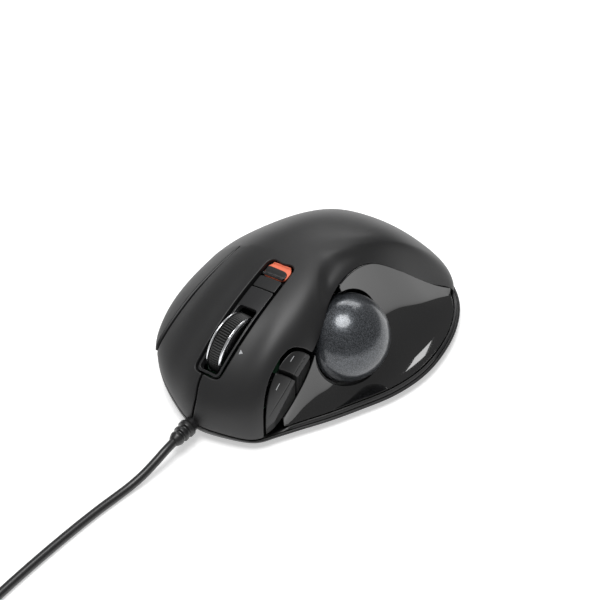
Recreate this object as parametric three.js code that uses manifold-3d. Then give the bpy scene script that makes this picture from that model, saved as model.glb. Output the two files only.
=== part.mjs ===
// Corded right-handed trackball mouse with a thumb ball.
// Millimetres. +X is the user's right, +Y points forward along the cable exit, +Z is up.
// The origin lies on the desk under the middle of the mouse.
import * as THREE from 'three';
import { mergeVertices } from 'three/addons/utils/BufferGeometryUtils.js';
import Module from 'manifold-3d';

const wasm = await Module();
wasm.setup();

// ---------- driving dimensions ----------
const HUB = new THREE.Vector2(9, -6); // plan centre that all polar outlines turn about
const SHELL = 2.2; // moulded cover thickness
const SEAM = 0.9; // open line between the covers and the tray
const GAP = 0.35; // clearance between neighbouring fixed pieces
const SLIT = 0.8; // width of the lines that free the moving plates
const DESK_CLEARANCE = 0.9; // underside of the tray above the desk
const FLOOR = 2; // tray floor thickness
const WALL = 1.6; // tray wall thickness
const FLOOR_TOP = DESK_CLEARANCE + FLOOR;
const HINGE_Y = 7; // rear end of the two click plates
const RAIL_END_Y = 1; // rear end of the side function button
const BALL = { x: -19.5, y: 4, z: 21, radius: 17 };
const WHEEL = { x: 9.4, y: 35.3, z: 26.3, radius: 12.3 };
const BOARD = { bottom: 8, top: 9.6 };
const CABLE = { radius: 1.7, exitHeight: 7 };

// ---------- outlines and profiles of the body ----------
// widest outline of the whole mouse, seen from above
const FOOT = [
  [9, 61.9], [20, 58.6], [31, 52.6], [39.3, 44.5], [44.3, 33], [46.8, 18], [47.35, 2], [46.2, -16],
  [42, -34], [33.5, -49], [20, -58.5], [4, -61.5], [-12, -61.2], [-27, -58], [-38, -49.5],
  [-44.8, -36], [-47.35, -20], [-46.6, -8], [-42.8, 5], [-36.3, 17.8], [-30, 29], [-23.8, 38.6],
  [-18.5, 47], [-14.5, 53.2], [-5, 58.2],
];
// outline that the domed cover would have without the thumb wing
const HUMP = [
  [9, 61.9], [20, 58.6], [31, 52.6], [39.3, 44.5], [44.3, 33], [46.8, 18], [47.35, 2], [46.2, -16],
  [42, -34], [33.5, -49], [20, -58.5], [4, -61.5], [-12, -61.2], [-27, -57.7], [-34, -51.5],
  [-33.5, -40], [-30, -29], [-27.5, -16], [-24, -4], [-22.5, 8], [-22.5, 20], [-21.5, 33],
  [-19, 43], [-16, 50.5], [-13.5, 54], [-5, 58.2],
];
// edge where the cover meets the thumb panel: x, y and the panel's height there
const CREASE = [
  [-17, 49.5, 5], [-18, 41, 10], [-18, 33, 14.5], [-18, 25, 22], [-16.3, 15, 34], [-13, 5, 38.5],
  [-12.3, -2, 41], [-12.8, -10, 41.5], [-15, -18, 39.5], [-18.8, -24.5, 34.5], [-22.8, -30.5, 28],
  [-27.2, -38.8, 18.5], [-31, -46, 11.5], [-34, -51.5, 7.5],
];
// height of the roof along y, its fall to each side along x, and the height of the waist by angle
const SPINE = [
  [-62.2, 28], [-50, 36.5], [-38, 43], [-26, 46.2], [-12, 47], [2, 45.4], [16, 42.6], [30, 39.2],
  [45, 34.8], [62, 30],
];
const FALL = [[-40, 5], [-24, 1.6], [-10, -0.6], [0, 0], [10, 1.4], [20, 4], [30, 8], [40, 13], [48, 17]];
const WAIST = [
  [-90, 6], [-60, 8], [-30, 12], [0, 16], [30, 17], [60, 13], [90, 7], [115, 4.5], [140, 4],
  [180, 4], [220, 5], [270, 6],
];
const REAR_FALL = 0.55; // how much steeper the right flank falls towards the rear
const TUCK = 3; // how far the tray's wall runs in under the waist
const WING = { rimHeight: 5.5, inset: 2.8, thickness: 1.5, clear: 0.5, start: 119.5, end: 225.8 };

const SEGMENTS = 48; // facets round a polar body
const DOME_RINGS = [0.35, 0.6, 0.78, 0.88, 0.945, 0.985, 1];

// ---------- curves ----------
const degrees = THREE.MathUtils.degToRad;
const clamp = THREE.MathUtils.clamp;

function smoothCurve(points, closed, steps) {
  const vectors = points.map(([x, y, z = 0]) => new THREE.Vector3(x, y, z));
  return new THREE.CatmullRomCurve3(vectors, closed, 'centripetal').getPoints(steps);
}

// linear look-up in sorted [key, value] pairs
function lookup(pairs) {
  const sorted = [...pairs].sort((a, b) => a[0] - b[0]);
  return (key) => {
    let low = 0;
    let high = sorted.length - 1;
    if (key <= sorted[low][0]) return sorted[low][1];
    if (key >= sorted[high][0]) return sorted[high][1];
    while (high - low > 1) {
      const middle = (low + high) >> 1;
      if (sorted[middle][0] > key) high = middle;
      else low = middle;
    }
    const share = (key - sorted[low][0]) / (sorted[high][0] - sorted[low][0]);
    return sorted[low][1] + share * (sorted[high][1] - sorted[low][1]);
  };
}

const turn = (angle) => THREE.MathUtils.euclideanModulo(angle, 2 * Math.PI);

function polarAngle(x, y) {
  return turn(Math.atan2(y - HUB.y, x - HUB.x));
}

function hubDistance(x, y) {
  return Math.hypot(x - HUB.x, y - HUB.y);
}

// radius of a closed outline by angle
function radiusOf(outline) {
  const pairs = [];
  for (const point of smoothCurve(outline, true, 24 * outline.length)) {
    const angle = polarAngle(point.x, point.y);
    const radius = hubDistance(point.x, point.y);
    pairs.push([angle, radius], [angle - 2 * Math.PI, radius], [angle + 2 * Math.PI, radius]);
  }
  return lookup(pairs);
}

function profileOf(points) {
  return lookup(smoothCurve(points, false, 24 * points.length).map((point) => [point.x, point.y]));
}

const footRadius = radiusOf(FOOT);
const humpRadius = radiusOf(HUMP);
const creaseCurve = smoothCurve(CREASE, false, 24 * CREASE.length);
const creaseRadius = lookup(creaseCurve.map((p) => [polarAngle(p.x, p.y), hubDistance(p.x, p.y)]));
const creaseHeight = lookup(creaseCurve.map((p) => [polarAngle(p.x, p.y), p.z]));
const spine = profileOf(SPINE);
const fall = profileOf(FALL);
const waistByAngle = profileOf(WAIST);
const waist = (angle) => waistByAngle(turn(angle + Math.PI / 2) * 180 / Math.PI - 90);

// ---------- surfaces ----------
// how square the dome's shoulder is: crisp in front and on the right, soft at the rear
function shoulder(angle) {
  const ahead = clamp(Math.sin(angle), 0, 1) ** 2;
  const behind = clamp(-Math.sin(angle), 0, 1) ** 2;
  const right = clamp(Math.cos(angle), 0, 1) ** 2 * clamp(0.55 + Math.sin(angle), 0, 1);
  return 3 + 2 * ahead - 0.3 * behind + right;
}

function domeHeight(x, y, depth) {
  const angle = polarAngle(x, y);
  const reach = Math.min(hubDistance(x, y) / (humpRadius(angle) - depth), 1);
  const steeper = x > 0 ? 1 + REAR_FALL * clamp(-y / 35, 0, 1) : 1;
  const roof = spine(y) - fall(x) * steeper - depth;
  const base = waist(angle) + SEAM;
  return base + (roof - base) * Math.sqrt(1 - reach ** shoulder(angle));
}

const smoothStep = (value, from, to) => THREE.MathUtils.smoothstep(value, from, to);

// share of the cover's height above its lower edge that it loses at the crease, by angle
function creaseDip(angle) {
  const rise = smoothStep(angle, degrees(134), degrees(148));
  const fade = rise * (1 - smoothStep(angle, degrees(226), degrees(240)));
  if (fade === 0) return 0;
  const radius = creaseRadius(angle);
  const full = domeHeight(HUB.x + radius * Math.cos(angle), HUB.y + radius * Math.sin(angle), 0);
  const base = waist(angle) + SEAM;
  return fade * (1 - (creaseHeight(angle) - base) / Math.max(full - base, 1));
}

function coverHeight(x, y, depth) {
  const angle = polarAngle(x, y);
  const base = waist(angle) + SEAM;
  const nearCrease = clamp((hubDistance(x, y) / creaseRadius(angle) - 0.6) / 0.4, 0, 1);
  return base + (domeHeight(x, y, depth) - base) * (1 - creaseDip(angle) * nearCrease ** 2);
}

// gloss thumb panel: across runs from the rim (0) to the crease (1)
function wingPoint(angle, across, lower = 0) {
  const outer = footRadius(angle) - WING.inset;
  const inner = creaseRadius(angle) + WING.clear;
  const radius = outer + (inner - outer) * across;
  const fromBall = (THREE.MathUtils.radToDeg(angle) - 185) / 36;
  const hollow = 1.3 + 1.5 * Math.exp(-(fromBall ** 2));
  const height = WING.rimHeight + (creaseHeight(angle) - WING.rimHeight) * across ** hollow;
  return new THREE.Vector3(HUB.x + radius * Math.cos(angle), HUB.y + radius * Math.sin(angle), height - lower);
}

// ---------- solids ----------
function signedVolume(positions, index) {
  const a = new THREE.Vector3();
  const b = new THREE.Vector3();
  const c = new THREE.Vector3();
  let volume = 0;
  for (let i = 0; i < index.length; i += 3) {
    a.fromArray(positions, 3 * index[i]);
    b.fromArray(positions, 3 * index[i + 1]);
    c.fromArray(positions, 3 * index[i + 2]);
    volume += a.dot(b.cross(c)) / 6;
  }
  return volume;
}

// closed three.js geometry to a manifold solid with its faces pointing out
function solidOf(geometry) {
  const bare = geometry.clone();
  bare.deleteAttribute('normal');
  bare.deleteAttribute('uv');
  const merged = mergeVertices(bare, 1e-4);
  const positions = new Float32Array(merged.attributes.position.array);
  const index = new Uint32Array(merged.index.array);
  if (signedVolume(positions, index) < 0) index.reverse();
  return new wasm.Manifold(new wasm.Mesh({ numProp: 3, vertProperties: positions, triVerts: index }));
}

function geometryOf(solid) {
  const mesh = solid.getMesh();
  const geometry = new THREE.BufferGeometry();
  geometry.setAttribute('position', new THREE.BufferAttribute(new Float32Array(mesh.vertProperties), 3));
  geometry.setIndex(new THREE.BufferAttribute(new Uint32Array(mesh.triVerts), 1));
  geometry.computeVertexNormals();
  return geometry;
}

const join = (first, ...others) => others.reduce((sum, other) => sum.add(other), first);
const cut = (first, ...others) => others.reduce((rest, other) => rest.subtract(other), first);
const common = (first, ...others) => others.reduce((rest, other) => rest.intersect(other), first);

function box(x, y, z) {
  const geometry = new THREE.BoxGeometry(x[1] - x[0], y[1] - y[0], z[1] - z[0]);
  geometry.translate((x[0] + x[1]) / 2, (y[0] + y[1]) / 2, (z[0] + z[1]) / 2);
  return solidOf(geometry);
}

// upright prism from a plan outline of [x, y] points
function prism(outline, bottom = -5, top = 70) {
  const shape = new THREE.Shape(outline.map(([x, y]) => new THREE.Vector2(x, y)));
  const geometry = new THREE.ExtrudeGeometry(shape, { depth: top - bottom, bevelEnabled: false });
  geometry.translate(0, 0, bottom);
  return solidOf(geometry);
}

// prism along x from a side outline of [y, z] points
function sidePrism(outline, left, right) {
  const shape = new THREE.Shape(outline.map(([y, z]) => new THREE.Vector2(y, z)));
  const geometry = new THREE.ExtrudeGeometry(shape, { depth: right - left, bevelEnabled: false });
  geometry.applyMatrix4(new THREE.Matrix4().makeBasis(
    new THREE.Vector3(0, 1, 0), new THREE.Vector3(0, 0, 1), new THREE.Vector3(1, 0, 0)));
  geometry.translate(left, 0, 0);
  return solidOf(geometry);
}

function roundedOutline(x0, x1, y0, y1, radius) {
  const shape = new THREE.Shape();
  shape.absarc(x1 - radius, y1 - radius, radius, 0, Math.PI / 2);
  shape.absarc(x0 + radius, y1 - radius, radius, Math.PI / 2, Math.PI);
  shape.absarc(x0 + radius, y0 + radius, radius, Math.PI, 1.5 * Math.PI);
  shape.absarc(x1 - radius, y0 + radius, radius, 1.5 * Math.PI, 2 * Math.PI);
  return shape.getPoints(3).map((point) => [point.x, point.y]);
}

// turned solid from [radius, height] points, upright at the origin
function turned(profile, sides = 24) {
  return solidOf(turnedGeometry(profile, sides));
}

function turnedGeometry(profile, sides) {
  const geometry = new THREE.LatheGeometry(profile.map(([r, h]) => new THREE.Vector2(r, h)), sides);
  geometry.rotateX(Math.PI / 2);
  return geometry;
}

function rod(radius, bottom, top, sides = 16) {
  return turned([[0, bottom], [radius, bottom], [radius, top], [0, top]], sides);
}

// solid of rings round the hub, each ring giving [radius, height] by angle, with a pole at each end
function polarBody(rings, firstPole, lastPole) {
  const positions = [HUB.x, HUB.y, firstPole];
  for (const ring of rings) {
    for (let i = 0; i < SEGMENTS; i += 1) {
      const angle = (2 * Math.PI * i) / SEGMENTS;
      const [radius, height] = ring(angle);
      positions.push(HUB.x + radius * Math.cos(angle), HUB.y + radius * Math.sin(angle), height);
    }
  }
  positions.push(HUB.x, HUB.y, lastPole);
  const last = 1 + rings.length * SEGMENTS;
  const index = [];
  for (let i = 0; i < SEGMENTS; i += 1) {
    const next = (i + 1) % SEGMENTS;
    index.push(0, 1 + next, 1 + i);
    index.push(last, last - SEGMENTS + i, last - SEGMENTS + next);
    for (let r = 0; r < rings.length - 1; r += 1) {
      const low = 1 + r * SEGMENTS;
      const high = low + SEGMENTS;
      index.push(low + i, low + next, high + next);
      index.push(low + i, high + next, high + i);
    }
  }
  const geometry = new THREE.BufferGeometry();
  geometry.setAttribute('position', new THREE.Float32BufferAttribute(positions, 3));
  geometry.setIndex(index);
  return solidOf(geometry);
}

function domeRing(reach, depth) {
  return (angle) => {
    const radius = reach * (humpRadius(angle) - depth);
    const x = HUB.x + radius * Math.cos(angle);
    const y = HUB.y + radius * Math.sin(angle);
    return [radius, coverHeight(x, y, depth)];
  };
}

// layer of the cover between two depths below its outer surface
function coverLayer(outerDepth, innerDepth) {
  const outer = DOME_RINGS.map((reach) => domeRing(reach, outerDepth));
  const inner = DOME_RINGS.map((reach) => domeRing(reach, innerDepth)).reverse();
  const outerPole = coverHeight(HUB.x, HUB.y, outerDepth);
  return polarBody([...outer, ...inner], outerPole, coverHeight(HUB.x, HUB.y, innerDepth));
}

// everything under the cover's outer surface, down to a level
function coverVolume(depth, bottom) {
  const rings = DOME_RINGS.map((reach) => domeRing(reach, depth));
  rings.push((angle) => [humpRadius(angle) - depth, bottom]);
  return polarBody(rings, coverHeight(HUB.x, HUB.y, depth), bottom);
}

// closed body between two grids of points, upper and lower, of the same size
function sheetBody(columns, rows, upper, lower) {
  const positions = [];
  for (const surface of [upper, lower]) {
    for (let i = 0; i <= columns; i += 1) {
      for (let j = 0; j <= rows; j += 1) positions.push(...surface(i / columns, j / rows).toArray());
    }
  }
  const offset = (columns + 1) * (rows + 1);
  const at = (i, j) => i * (rows + 1) + j;
  const index = [];
  const quad = (a, b, c, d) => index.push(a, b, c, a, c, d);
  for (let i = 0; i < columns; i += 1) {
    for (let j = 0; j < rows; j += 1) {
      quad(at(i, j), at(i + 1, j), at(i + 1, j + 1), at(i, j + 1));
      quad(offset + at(i, j), offset + at(i, j + 1), offset + at(i + 1, j + 1), offset + at(i + 1, j));
    }
    quad(at(i, 0), offset + at(i, 0), offset + at(i + 1, 0), at(i + 1, 0));
    quad(at(i, rows), at(i + 1, rows), offset + at(i + 1, rows), offset + at(i, rows));
  }
  for (let j = 0; j < rows; j += 1) {
    quad(at(0, j), at(0, j + 1), offset + at(0, j + 1), offset + at(0, j));
    quad(at(columns, j), offset + at(columns, j), offset + at(columns, j + 1), at(columns, j + 1));
  }
  const geometry = new THREE.BufferGeometry();
  geometry.setAttribute('position', new THREE.Float32BufferAttribute(positions, 3));
  geometry.setIndex(index);
  return solidOf(geometry);
}

function ballSphere(radius, columns = 32, rows = 18) {
  const geometry = new THREE.SphereGeometry(radius, columns, rows);
  geometry.rotateX(Math.PI / 2);
  geometry.translate(BALL.x, BALL.y, BALL.z);
  return solidOf(geometry);
}

// ---------- plan outlines of the covers ----------
const FAR = 80;
const RECESS = { left: 3.3, right: 15.5, rear: 4, front: 52, corner: 2.6 };
// line between the right click plate and the side function button
const SIDE_LINE = [[33, -1], [35.3, 12], [36.6, 24], [37.2, 36], [37.4, 47], [37.4, 66]];
// line that bounds the two side keys, seen from above
const KEY_LINE = [[-20, 24.6], [-18, 25.4], [-15.6, 26.8], [-13, 29.6], [-12.2, 34], [-12.6, 42], [-14.3, 47.5], [-16.6, 51], [-19, 53]];
// line between the click plates, from the wheel strip to the nose
const NOSE_LINE = [[11, 50], [10.4, 55], [9, 59], [8.6, 66]];

const flatCurve = (points, steps) => smoothCurve(points, false, steps).map((p) => [p.x, p.y]);
const shifted = (points, dx, dy = 0) => points.map(([x, y]) => [x + dx, y + dy]);

const sideLine = flatCurve(SIDE_LINE, 12);
const keyLine = flatCurve(KEY_LINE, 24);
const noseLine = flatCurve(NOSE_LINE, 9);
const creasePlan = flatCurve(CREASE, 40);
const recessOutline = roundedOutline(RECESS.left, RECESS.right, RECESS.rear, RECESS.front, RECESS.corner);

// the side of the crease that the cover lies on
function coverSide() {
  const outline = [[-17, FAR], ...creasePlan, [-34.5, -54], [-50, -FAR], [FAR, -FAR], [FAR, FAR]];
  return prism(outline);
}

function leftPlateOutline() {
  const nose = shifted(noseLine, -SLIT / 2);
  const keys = shifted(keyLine, SLIT / 2);
  return [
    [RECESS.left, HINGE_Y], [RECESS.left, RECESS.front], ...nose, [-40, 66], ...keys.reverse(),
    [-40, 24.6], [-40, HINGE_Y],
  ];
}

function rightPlateOutline() {
  const nose = shifted(noseLine, SLIT / 2);
  const side = shifted(sideLine, -SLIT / 2).filter(([, y]) => y > HINGE_Y);
  return [
    [RECESS.right, HINGE_Y], [side[0][0] - 0.6, HINGE_Y], ...side, ...nose.reverse(),
    [RECESS.right, RECESS.front],
  ];
}

function sideButtonOutline() {
  const side = shifted(sideLine, SLIT / 2).filter(([, y]) => y > RAIL_END_Y);
  return [[side[0][0] - 0.5, RAIL_END_Y], [FAR, RAIL_END_Y], [FAR, 66], ...side.reverse()];
}

function palmOutline() {
  const side = sideLine.filter(([, y]) => y > RAIL_END_Y && y < HINGE_Y - GAP);
  const front = HINGE_Y - GAP;
  return [
    [-FAR, -FAR], [FAR, -FAR], [FAR, RAIL_END_Y - GAP], [33, RAIL_END_Y - GAP],
    ...shifted(side, -SLIT / 2), [33.6, front], [-FAR, front],
  ];
}

const wheelStrip = prism(recessOutline);
const ballRoom = ballSphere(BALL.radius + 0.9);
const cableHole = alongY(rod(3.6, 50, 80), WHEEL.x - 0.4, CABLE.exitHeight);
const trimmedCover = cut(common(coverLayer(0, SHELL), coverSide()), ballRoom, wheelStrip);

function alongY(solid, x, z) {
  return solid.rotate([-90, 0, 0]).translate([x, 0, z]);
}

// post from below into a cover, with a pilot hole for a screw
function screwPost(x, y, bottom, top, radius = 3) {
  const post = rod(radius, bottom, top).translate([x, y, 0]);
  return cut(post, rod(1.6, bottom - 1, bottom + 7).translate([x, y, 0]));
}

const CASE_SCREWS = [[31, -33], [-6, -51], [-32, -22], [-20.5, 27.2]];
const BOARD_SCREWS = [[31, -20], [31, 31]];

function palmCover() {
  const inside = coverVolume(SHELL - 0.5, 4);
  const posts = CASE_SCREWS.slice(0, 2).map(([x, y]) => common(screwPost(x, y, 5.6, 60), inside));
  return join(common(trimmedCover, prism(palmOutline())), ...posts);
}

// rib under a click plate that reaches down to its switch
function actuator(x, y, bottom) {
  return common(box([x - 1.5, x + 1.5], [y - 2, y + 2], [bottom, 60]), coverVolume(SHELL - 0.5, 4));
}

const CLICK_SWITCH = { y: [31, 43.8], nubY: 36.5, left: -3.5, right: 22.4, width: 5.8, top: 16.4 };
const ACTUATOR_BOTTOM = 17.8;

function leftPlate() {
  const plate = cut(common(trimmedCover, prism(leftPlateOutline())), cableHole);
  return join(plate, actuator(CLICK_SWITCH.left, CLICK_SWITCH.nubY, ACTUATOR_BOTTOM));
}

function rightPlate() {
  const plate = cut(common(trimmedCover, prism(rightPlateOutline())), cableHole);
  return join(plate, actuator(CLICK_SWITCH.right, CLICK_SWITCH.nubY, ACTUATOR_BOTTOM));
}

const SIDE_SWITCH = { x: 34, y: 23, z: 16.5 };

function sideFunctionButton() {
  const skin = common(trimmedCover, prism(sideButtonOutline()));
  const rib = box([SIDE_SWITCH.x + 1.5, 50], [SIDE_SWITCH.y - 1.5, SIDE_SWITCH.y + 1.5], [19, 22]);
  return join(skin, common(rib, coverVolume(SHELL - 0.5, 4)));
}

// ---------- side keys ----------
const KEY_DIVIDE = [[-9, 41.6], [-22, 29.4]]; // slanted line between the two keys

function sideKey(rear) {
  const gap = SLIT / 2 + 0.1;
  const inner = shifted(keyLine, -SLIT / 2 - 0.2).filter(([, y]) => y > 25);
  const zone = prism([[-40, 25.8], ...inner, [-40, 51.5]]);
  const shift = rear ? -gap : gap;
  const away = rear ? -60 : 60;
  const divide = shifted(KEY_DIVIDE, 0, shift);
  const half = prism([...divide, [-22, divide[1][1] + away], [-9, divide[0][1] + away]]);
  const underside = sidePrism([[20, -10], [56, -10], [56, 4], [50, 5.6], [41, 10], [20, 18]], -40, 0);
  return cut(common(coverVolume(0.25, 4), coverSide(), zone, half), underside);
}

// ---------- wheel strip ----------
const STRIP_DEPTH = 0.8; // strip surface below the cover
const WELL = { left: 5.5, right: 13.3, rear: 25.4, front: 50.2, corner: 1.2 };
const KEY_POCKET = { left: 4.9, right: 13.9, rear: 11.5, front: 16.6 };
const SLIDER_POCKET = { left: 4.9, right: 13.9, rear: 5.3, front: 10.9 };
const SLIDER_REAR = 6.9; // rear edge of the slider in its forward position
const FIT = 0.4; // gap round the key and the slider in their pockets

function pocket({ left, right, rear, front, corner = 0.8 }, inset = 0) {
  return prism(roundedOutline(left + inset, right - inset, rear + inset, front - inset, corner));
}

function wheelBezel() {
  const outline = roundedOutline(
    RECESS.left + 0.9, RECESS.right - 0.9, RECESS.rear + 0.7, RECESS.front - 0.7, 1.9);
  const strip = common(coverLayer(STRIP_DEPTH, STRIP_DEPTH + 2.4), prism(outline));
  return cut(strip, pocket(WELL), pocket(KEY_POCKET), pocket(SLIDER_POCKET));
}

function functionKey() {
  return common(coverLayer(STRIP_DEPTH, STRIP_DEPTH + 3.6), pocket(KEY_POCKET, FIT));
}

function speedSlider() {
  const knob = pocket({ ...SLIDER_POCKET, rear: SLIDER_REAR - FIT }, FIT);
  return common(coverLayer(STRIP_DEPTH, STRIP_DEPTH + 1.2), knob);
}

function speedIndicator() {
  return common(coverLayer(STRIP_DEPTH + 1.6, STRIP_DEPTH + 2.3), pocket(SLIDER_POCKET, FIT));
}

// ---------- base tray ----------
function tuck(share) {
  return TUCK * (1 - share) ** 2;
}

function wallRing(share, inset) {
  return (angle) => {
    const height = DESK_CLEARANCE + (waist(angle) - DESK_CLEARANCE) * share;
    return [footRadius(angle) - tuck(share) - inset, height];
  };
}

const floorRing = (inset) => (angle) => [footRadius(angle) - TUCK - inset, FLOOR_TOP];

function holeThrough(radius, x, y, bottom = -1, top = 12) {
  return rod(radius, bottom, top).translate([x, y, 0]);
}

function baseTray() {
  const shares = [0, 0.25, 0.55, 1];
  const outer = shares.map((share) => wallRing(share, 0));
  const inner = [1, 0.75].map((share) => wallRing(share, WALL));
  let tray = polarBody([...outer, ...inner, floorRing(2)], DESK_CLEARANCE, FLOOR_TOP);
  for (const [x, y] of CASE_SCREWS) tray = join(tray, rod(4.2, 2, 4.6).translate([x, y, 0]));
  for (const [x, y] of BOARD_SCREWS) tray = join(tray, rod(3, 2, BOARD.bottom - GAP).translate([x, y, 0]));
  for (const [x, y] of CASE_SCREWS) {
    tray = cut(tray, holeThrough(1.6, x, y), holeThrough(3.1, x, y, -1, 2.7));
  }
  for (const [x, y] of BOARD_SCREWS) tray = cut(tray, holeThrough(1.45, x, y, 3.4));
  return cut(tray, holeThrough(6, BALL.x, BALL.y), cableHole);
}

// ---------- thumb panel ----------
function wingSheet(upperLift, lowerDrop) {
  const angleAt = (u) => degrees(WING.start + (WING.end - WING.start) * u);
  return sheetBody(
    24, 7,
    (u, v) => wingPoint(angleAt(u), v, -upperLift),
    (u, v) => wingPoint(angleAt(u), v, lowerDrop),
  );
}

function thumbPanel() {
  const under = wingSheet(-WING.thickness / 2, 30);
  const posts = CASE_SCREWS.slice(2).map(([x, y]) => common(screwPost(x, y, 5.2, 30, 2.8), under));
  const sheet = join(wingSheet(0, WING.thickness), ...posts);
  return cut(sheet, ballSphere(BALL.radius + 1.3));
}

// ---------- ball set ----------
const CUP = { inner: 17.7, outer: 19.2, hole: 5.8 };
const BEAD = { radius: 1.25, lean: 36, angles: [90, 210, 330] };

// matrix that carries the upright axis to a direction from the ball's centre
function towards(turnAngle, lean) {
  const matrix = new THREE.Matrix4().makeTranslation(BALL.x, BALL.y, BALL.z);
  matrix.multiply(new THREE.Matrix4().makeRotationZ(degrees(turnAngle)));
  return matrix.multiply(new THREE.Matrix4().makeRotationY(degrees(180 - lean)));
}

function placed(geometry, matrix) {
  return solidOf(geometry.clone().applyMatrix4(matrix));
}

function ballCup() {
  const bowl = cut(ballSphere(CUP.outer), ballSphere(CUP.inner));
  const tilted = sidePrism([[-30, 3.3], [40, 3.3], [40, 22], [-30, 22]], -60, 20);
  const overWing = wingSheet(30, WING.thickness + 0.5);
  let cup = cut(common(bowl, tilted), overWing, holeThrough(CUP.hole, BALL.x, BALL.y));
  for (const angle of BEAD.angles) {
    const bore = turnedGeometry([[0, 15], [BEAD.radius + 0.3, 15], [BEAD.radius + 0.3, 22], [0, 22]], 10);
    cup = cut(cup, placed(bore, towards(angle, BEAD.lean)));
  }
  const leftOfSensor = BALL.x + 12;
  const aboveWing = box([-60, BALL.x - 9], [-40, 40], [12, 40]);
  const window = box([leftOfSensor, BALL.x + 24], [BALL.y - 3.6, BALL.y + 3.6], [BALL.z - 3.6, BALL.z + 3.6]);
  return cut(cup, aboveWing, window);
}

function bead(angle) {
  const geometry = new THREE.SphereGeometry(BEAD.radius, 10, 8);
  geometry.translate(0, 0, BALL.radius + 0.15 + BEAD.radius);
  return placed(geometry, towards(angle, BEAD.lean));
}

const SENSOR_X = BALL.x + BALL.radius;
const sensorLens = () => box([SENSOR_X + 1, SENSOR_X + 3.6], [BALL.y - 3.2, BALL.y + 3.2], [BALL.z - 3.2, BALL.z + 3.2]);
const sensorChip = () => box([SENSOR_X + 4, SENSOR_X + 6.2], [BALL.y - 4.5, BALL.y + 4.5], [BALL.z - 5, BALL.z + 5]);
const sensorBoard = () => box([SENSOR_X + 6.5, SENSOR_X + 8.1], [BALL.y - 8, BALL.y + 8], [BALL.z - 9, BALL.z + 9]);

// ---------- wheel set ----------
const TYRE_HALF = 2.3;
const RING_HALF = 3.4;
const AXLE_RADIUS = 1.5;

function alongX(solid) {
  return solid.rotate([0, 90, 0]).translate([WHEEL.x, WHEEL.y, WHEEL.z]);
}

function wheelHub() {
  return alongX(turned([
    [0, -5.8], [AXLE_RADIUS, -5.8], [AXLE_RADIUS, -3.4], [9.6, -2.9], [9.6, 2.9],
    [AXLE_RADIUS, 3.4], [AXLE_RADIUS, 5.8], [0, 5.8],
  ], 32));
}

function wheelTyre() {
  const inner = 10;
  return alongX(turned([
    [inner, -TYRE_HALF], [WHEEL.radius - 0.3, -TYRE_HALF], [WHEEL.radius - 0.1, 0],
    [WHEEL.radius - 0.3, TYRE_HALF], [inner, TYRE_HALF], [inner, -TYRE_HALF],
  ], 40));
}

function wheelRing(side) {
  const near = side * (TYRE_HALF + 0.12);
  const far = side * RING_HALF;
  const inner = 10;
  return alongX(turned([
    [inner, near], [WHEEL.radius - 0.2, near], [WHEEL.radius, side * (TYRE_HALF + 0.5)],
    [WHEEL.radius - 0.7, far], [inner, far], [inner, near],
  ], 40));
}

const CARRIER = { half: 5.7, thickness: 1.2, bottom: 11.6, bridge: 13.2, top: 28, halfLength: 4 };

function wheelCarrier() {
  const { half, thickness, bottom, bridge, top, halfLength } = CARRIER;
  const along = [WHEEL.y - halfLength, WHEEL.y + halfLength];
  const left = WHEEL.x - half;
  const right = WHEEL.x + half;
  const arms = [
    box([left, left + thickness], along, [bottom, top]),
    box([right - thickness, right], along, [bottom, top]),
  ];
  const floor = box([left, right], along, [bottom, bridge]);
  const tongue = box([WHEEL.x - 3, WHEEL.x + 3], [WHEEL.y + 3.5, WHEEL.y + 12.6], [bottom + 2.3, bridge + 1.6]);
  const step = box([WHEEL.x - 3, WHEEL.x + 3], [WHEEL.y + 2.5, WHEEL.y + 4.5], [bottom, bridge + 1.6]);
  return cut(join(floor, ...arms, step, tongue), wheelRoom(), alongX(rod(AXLE_RADIUS + GAP, -9, 9)));
}

// swept room of the wheel inside the carrier
function wheelRoom() {
  return alongX(rod(WHEEL.radius + 0.5, -4.3, 4.3, 32));
}

// ---------- electronics ----------
const BOARD_OUTLINE = [
  [-9, 26], [-9, 44], [-3, 49], [8, 51.5], [20, 49.5], [29, 43], [34, 34], [36, 20], [36, -14],
  [31, -28], [21, -40], [8, -43], [3, -36], [3, -16], [1, 0], [1, 18], [-3, 24],
];

function mainBoard() {
  let board = prism(BOARD_OUTLINE, BOARD.bottom, BOARD.top);
  for (const [x, y] of BOARD_SCREWS) board = cut(board, holeThrough(1.5, x, y));
  return cut(board, holeThrough(4.4, ...CASE_SCREWS[0]));
}

const ON_BOARD = BOARD.top + GAP;

function clickSwitch(x) {
  const half = CLICK_SWITCH.width / 2;
  const body = box([x - half, x + half], CLICK_SWITCH.y, [ON_BOARD, CLICK_SWITCH.top]);
  const nub = box([x - 0.8, x + 0.8], [CLICK_SWITCH.nubY - 1.2, CLICK_SWITCH.nubY + 1.2], [CLICK_SWITCH.top - 1, CLICK_SWITCH.top + 0.8]);
  return join(body, nub);
}

// square tact switch with a round nub, upright at the origin
function tactSwitch(width, height, nub) {
  const half = width / 2;
  return join(box([-half, half], [-half, half], [0, height]), rod(1.7, height - 0.5, height + nub, 12));
}

const KEY_BOARD = { x: [4.6, 14.2], y: [5, 20], z: [32.2, 33.4] };
const keyBoard = () => box(KEY_BOARD.x, KEY_BOARD.y, KEY_BOARD.z);
const SIDE_BOARD = { x: [-9.6, -8.4], y: [27.5, 44], z: [10.2, 20.4] };
const sideKeyBoard = () => cut(
  box(SIDE_BOARD.x, SIDE_BOARD.y, SIDE_BOARD.z),
  sidePrism([[38, 24], [46, 15], [46, 24]], -20, 0),
);

function sideKeySwitch(y, z) {
  return tactSwitch(5, 1.6, 0.4).rotate([0, -90, 0]).translate([SIDE_BOARD.x[0] - GAP, y, z]);
}

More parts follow.
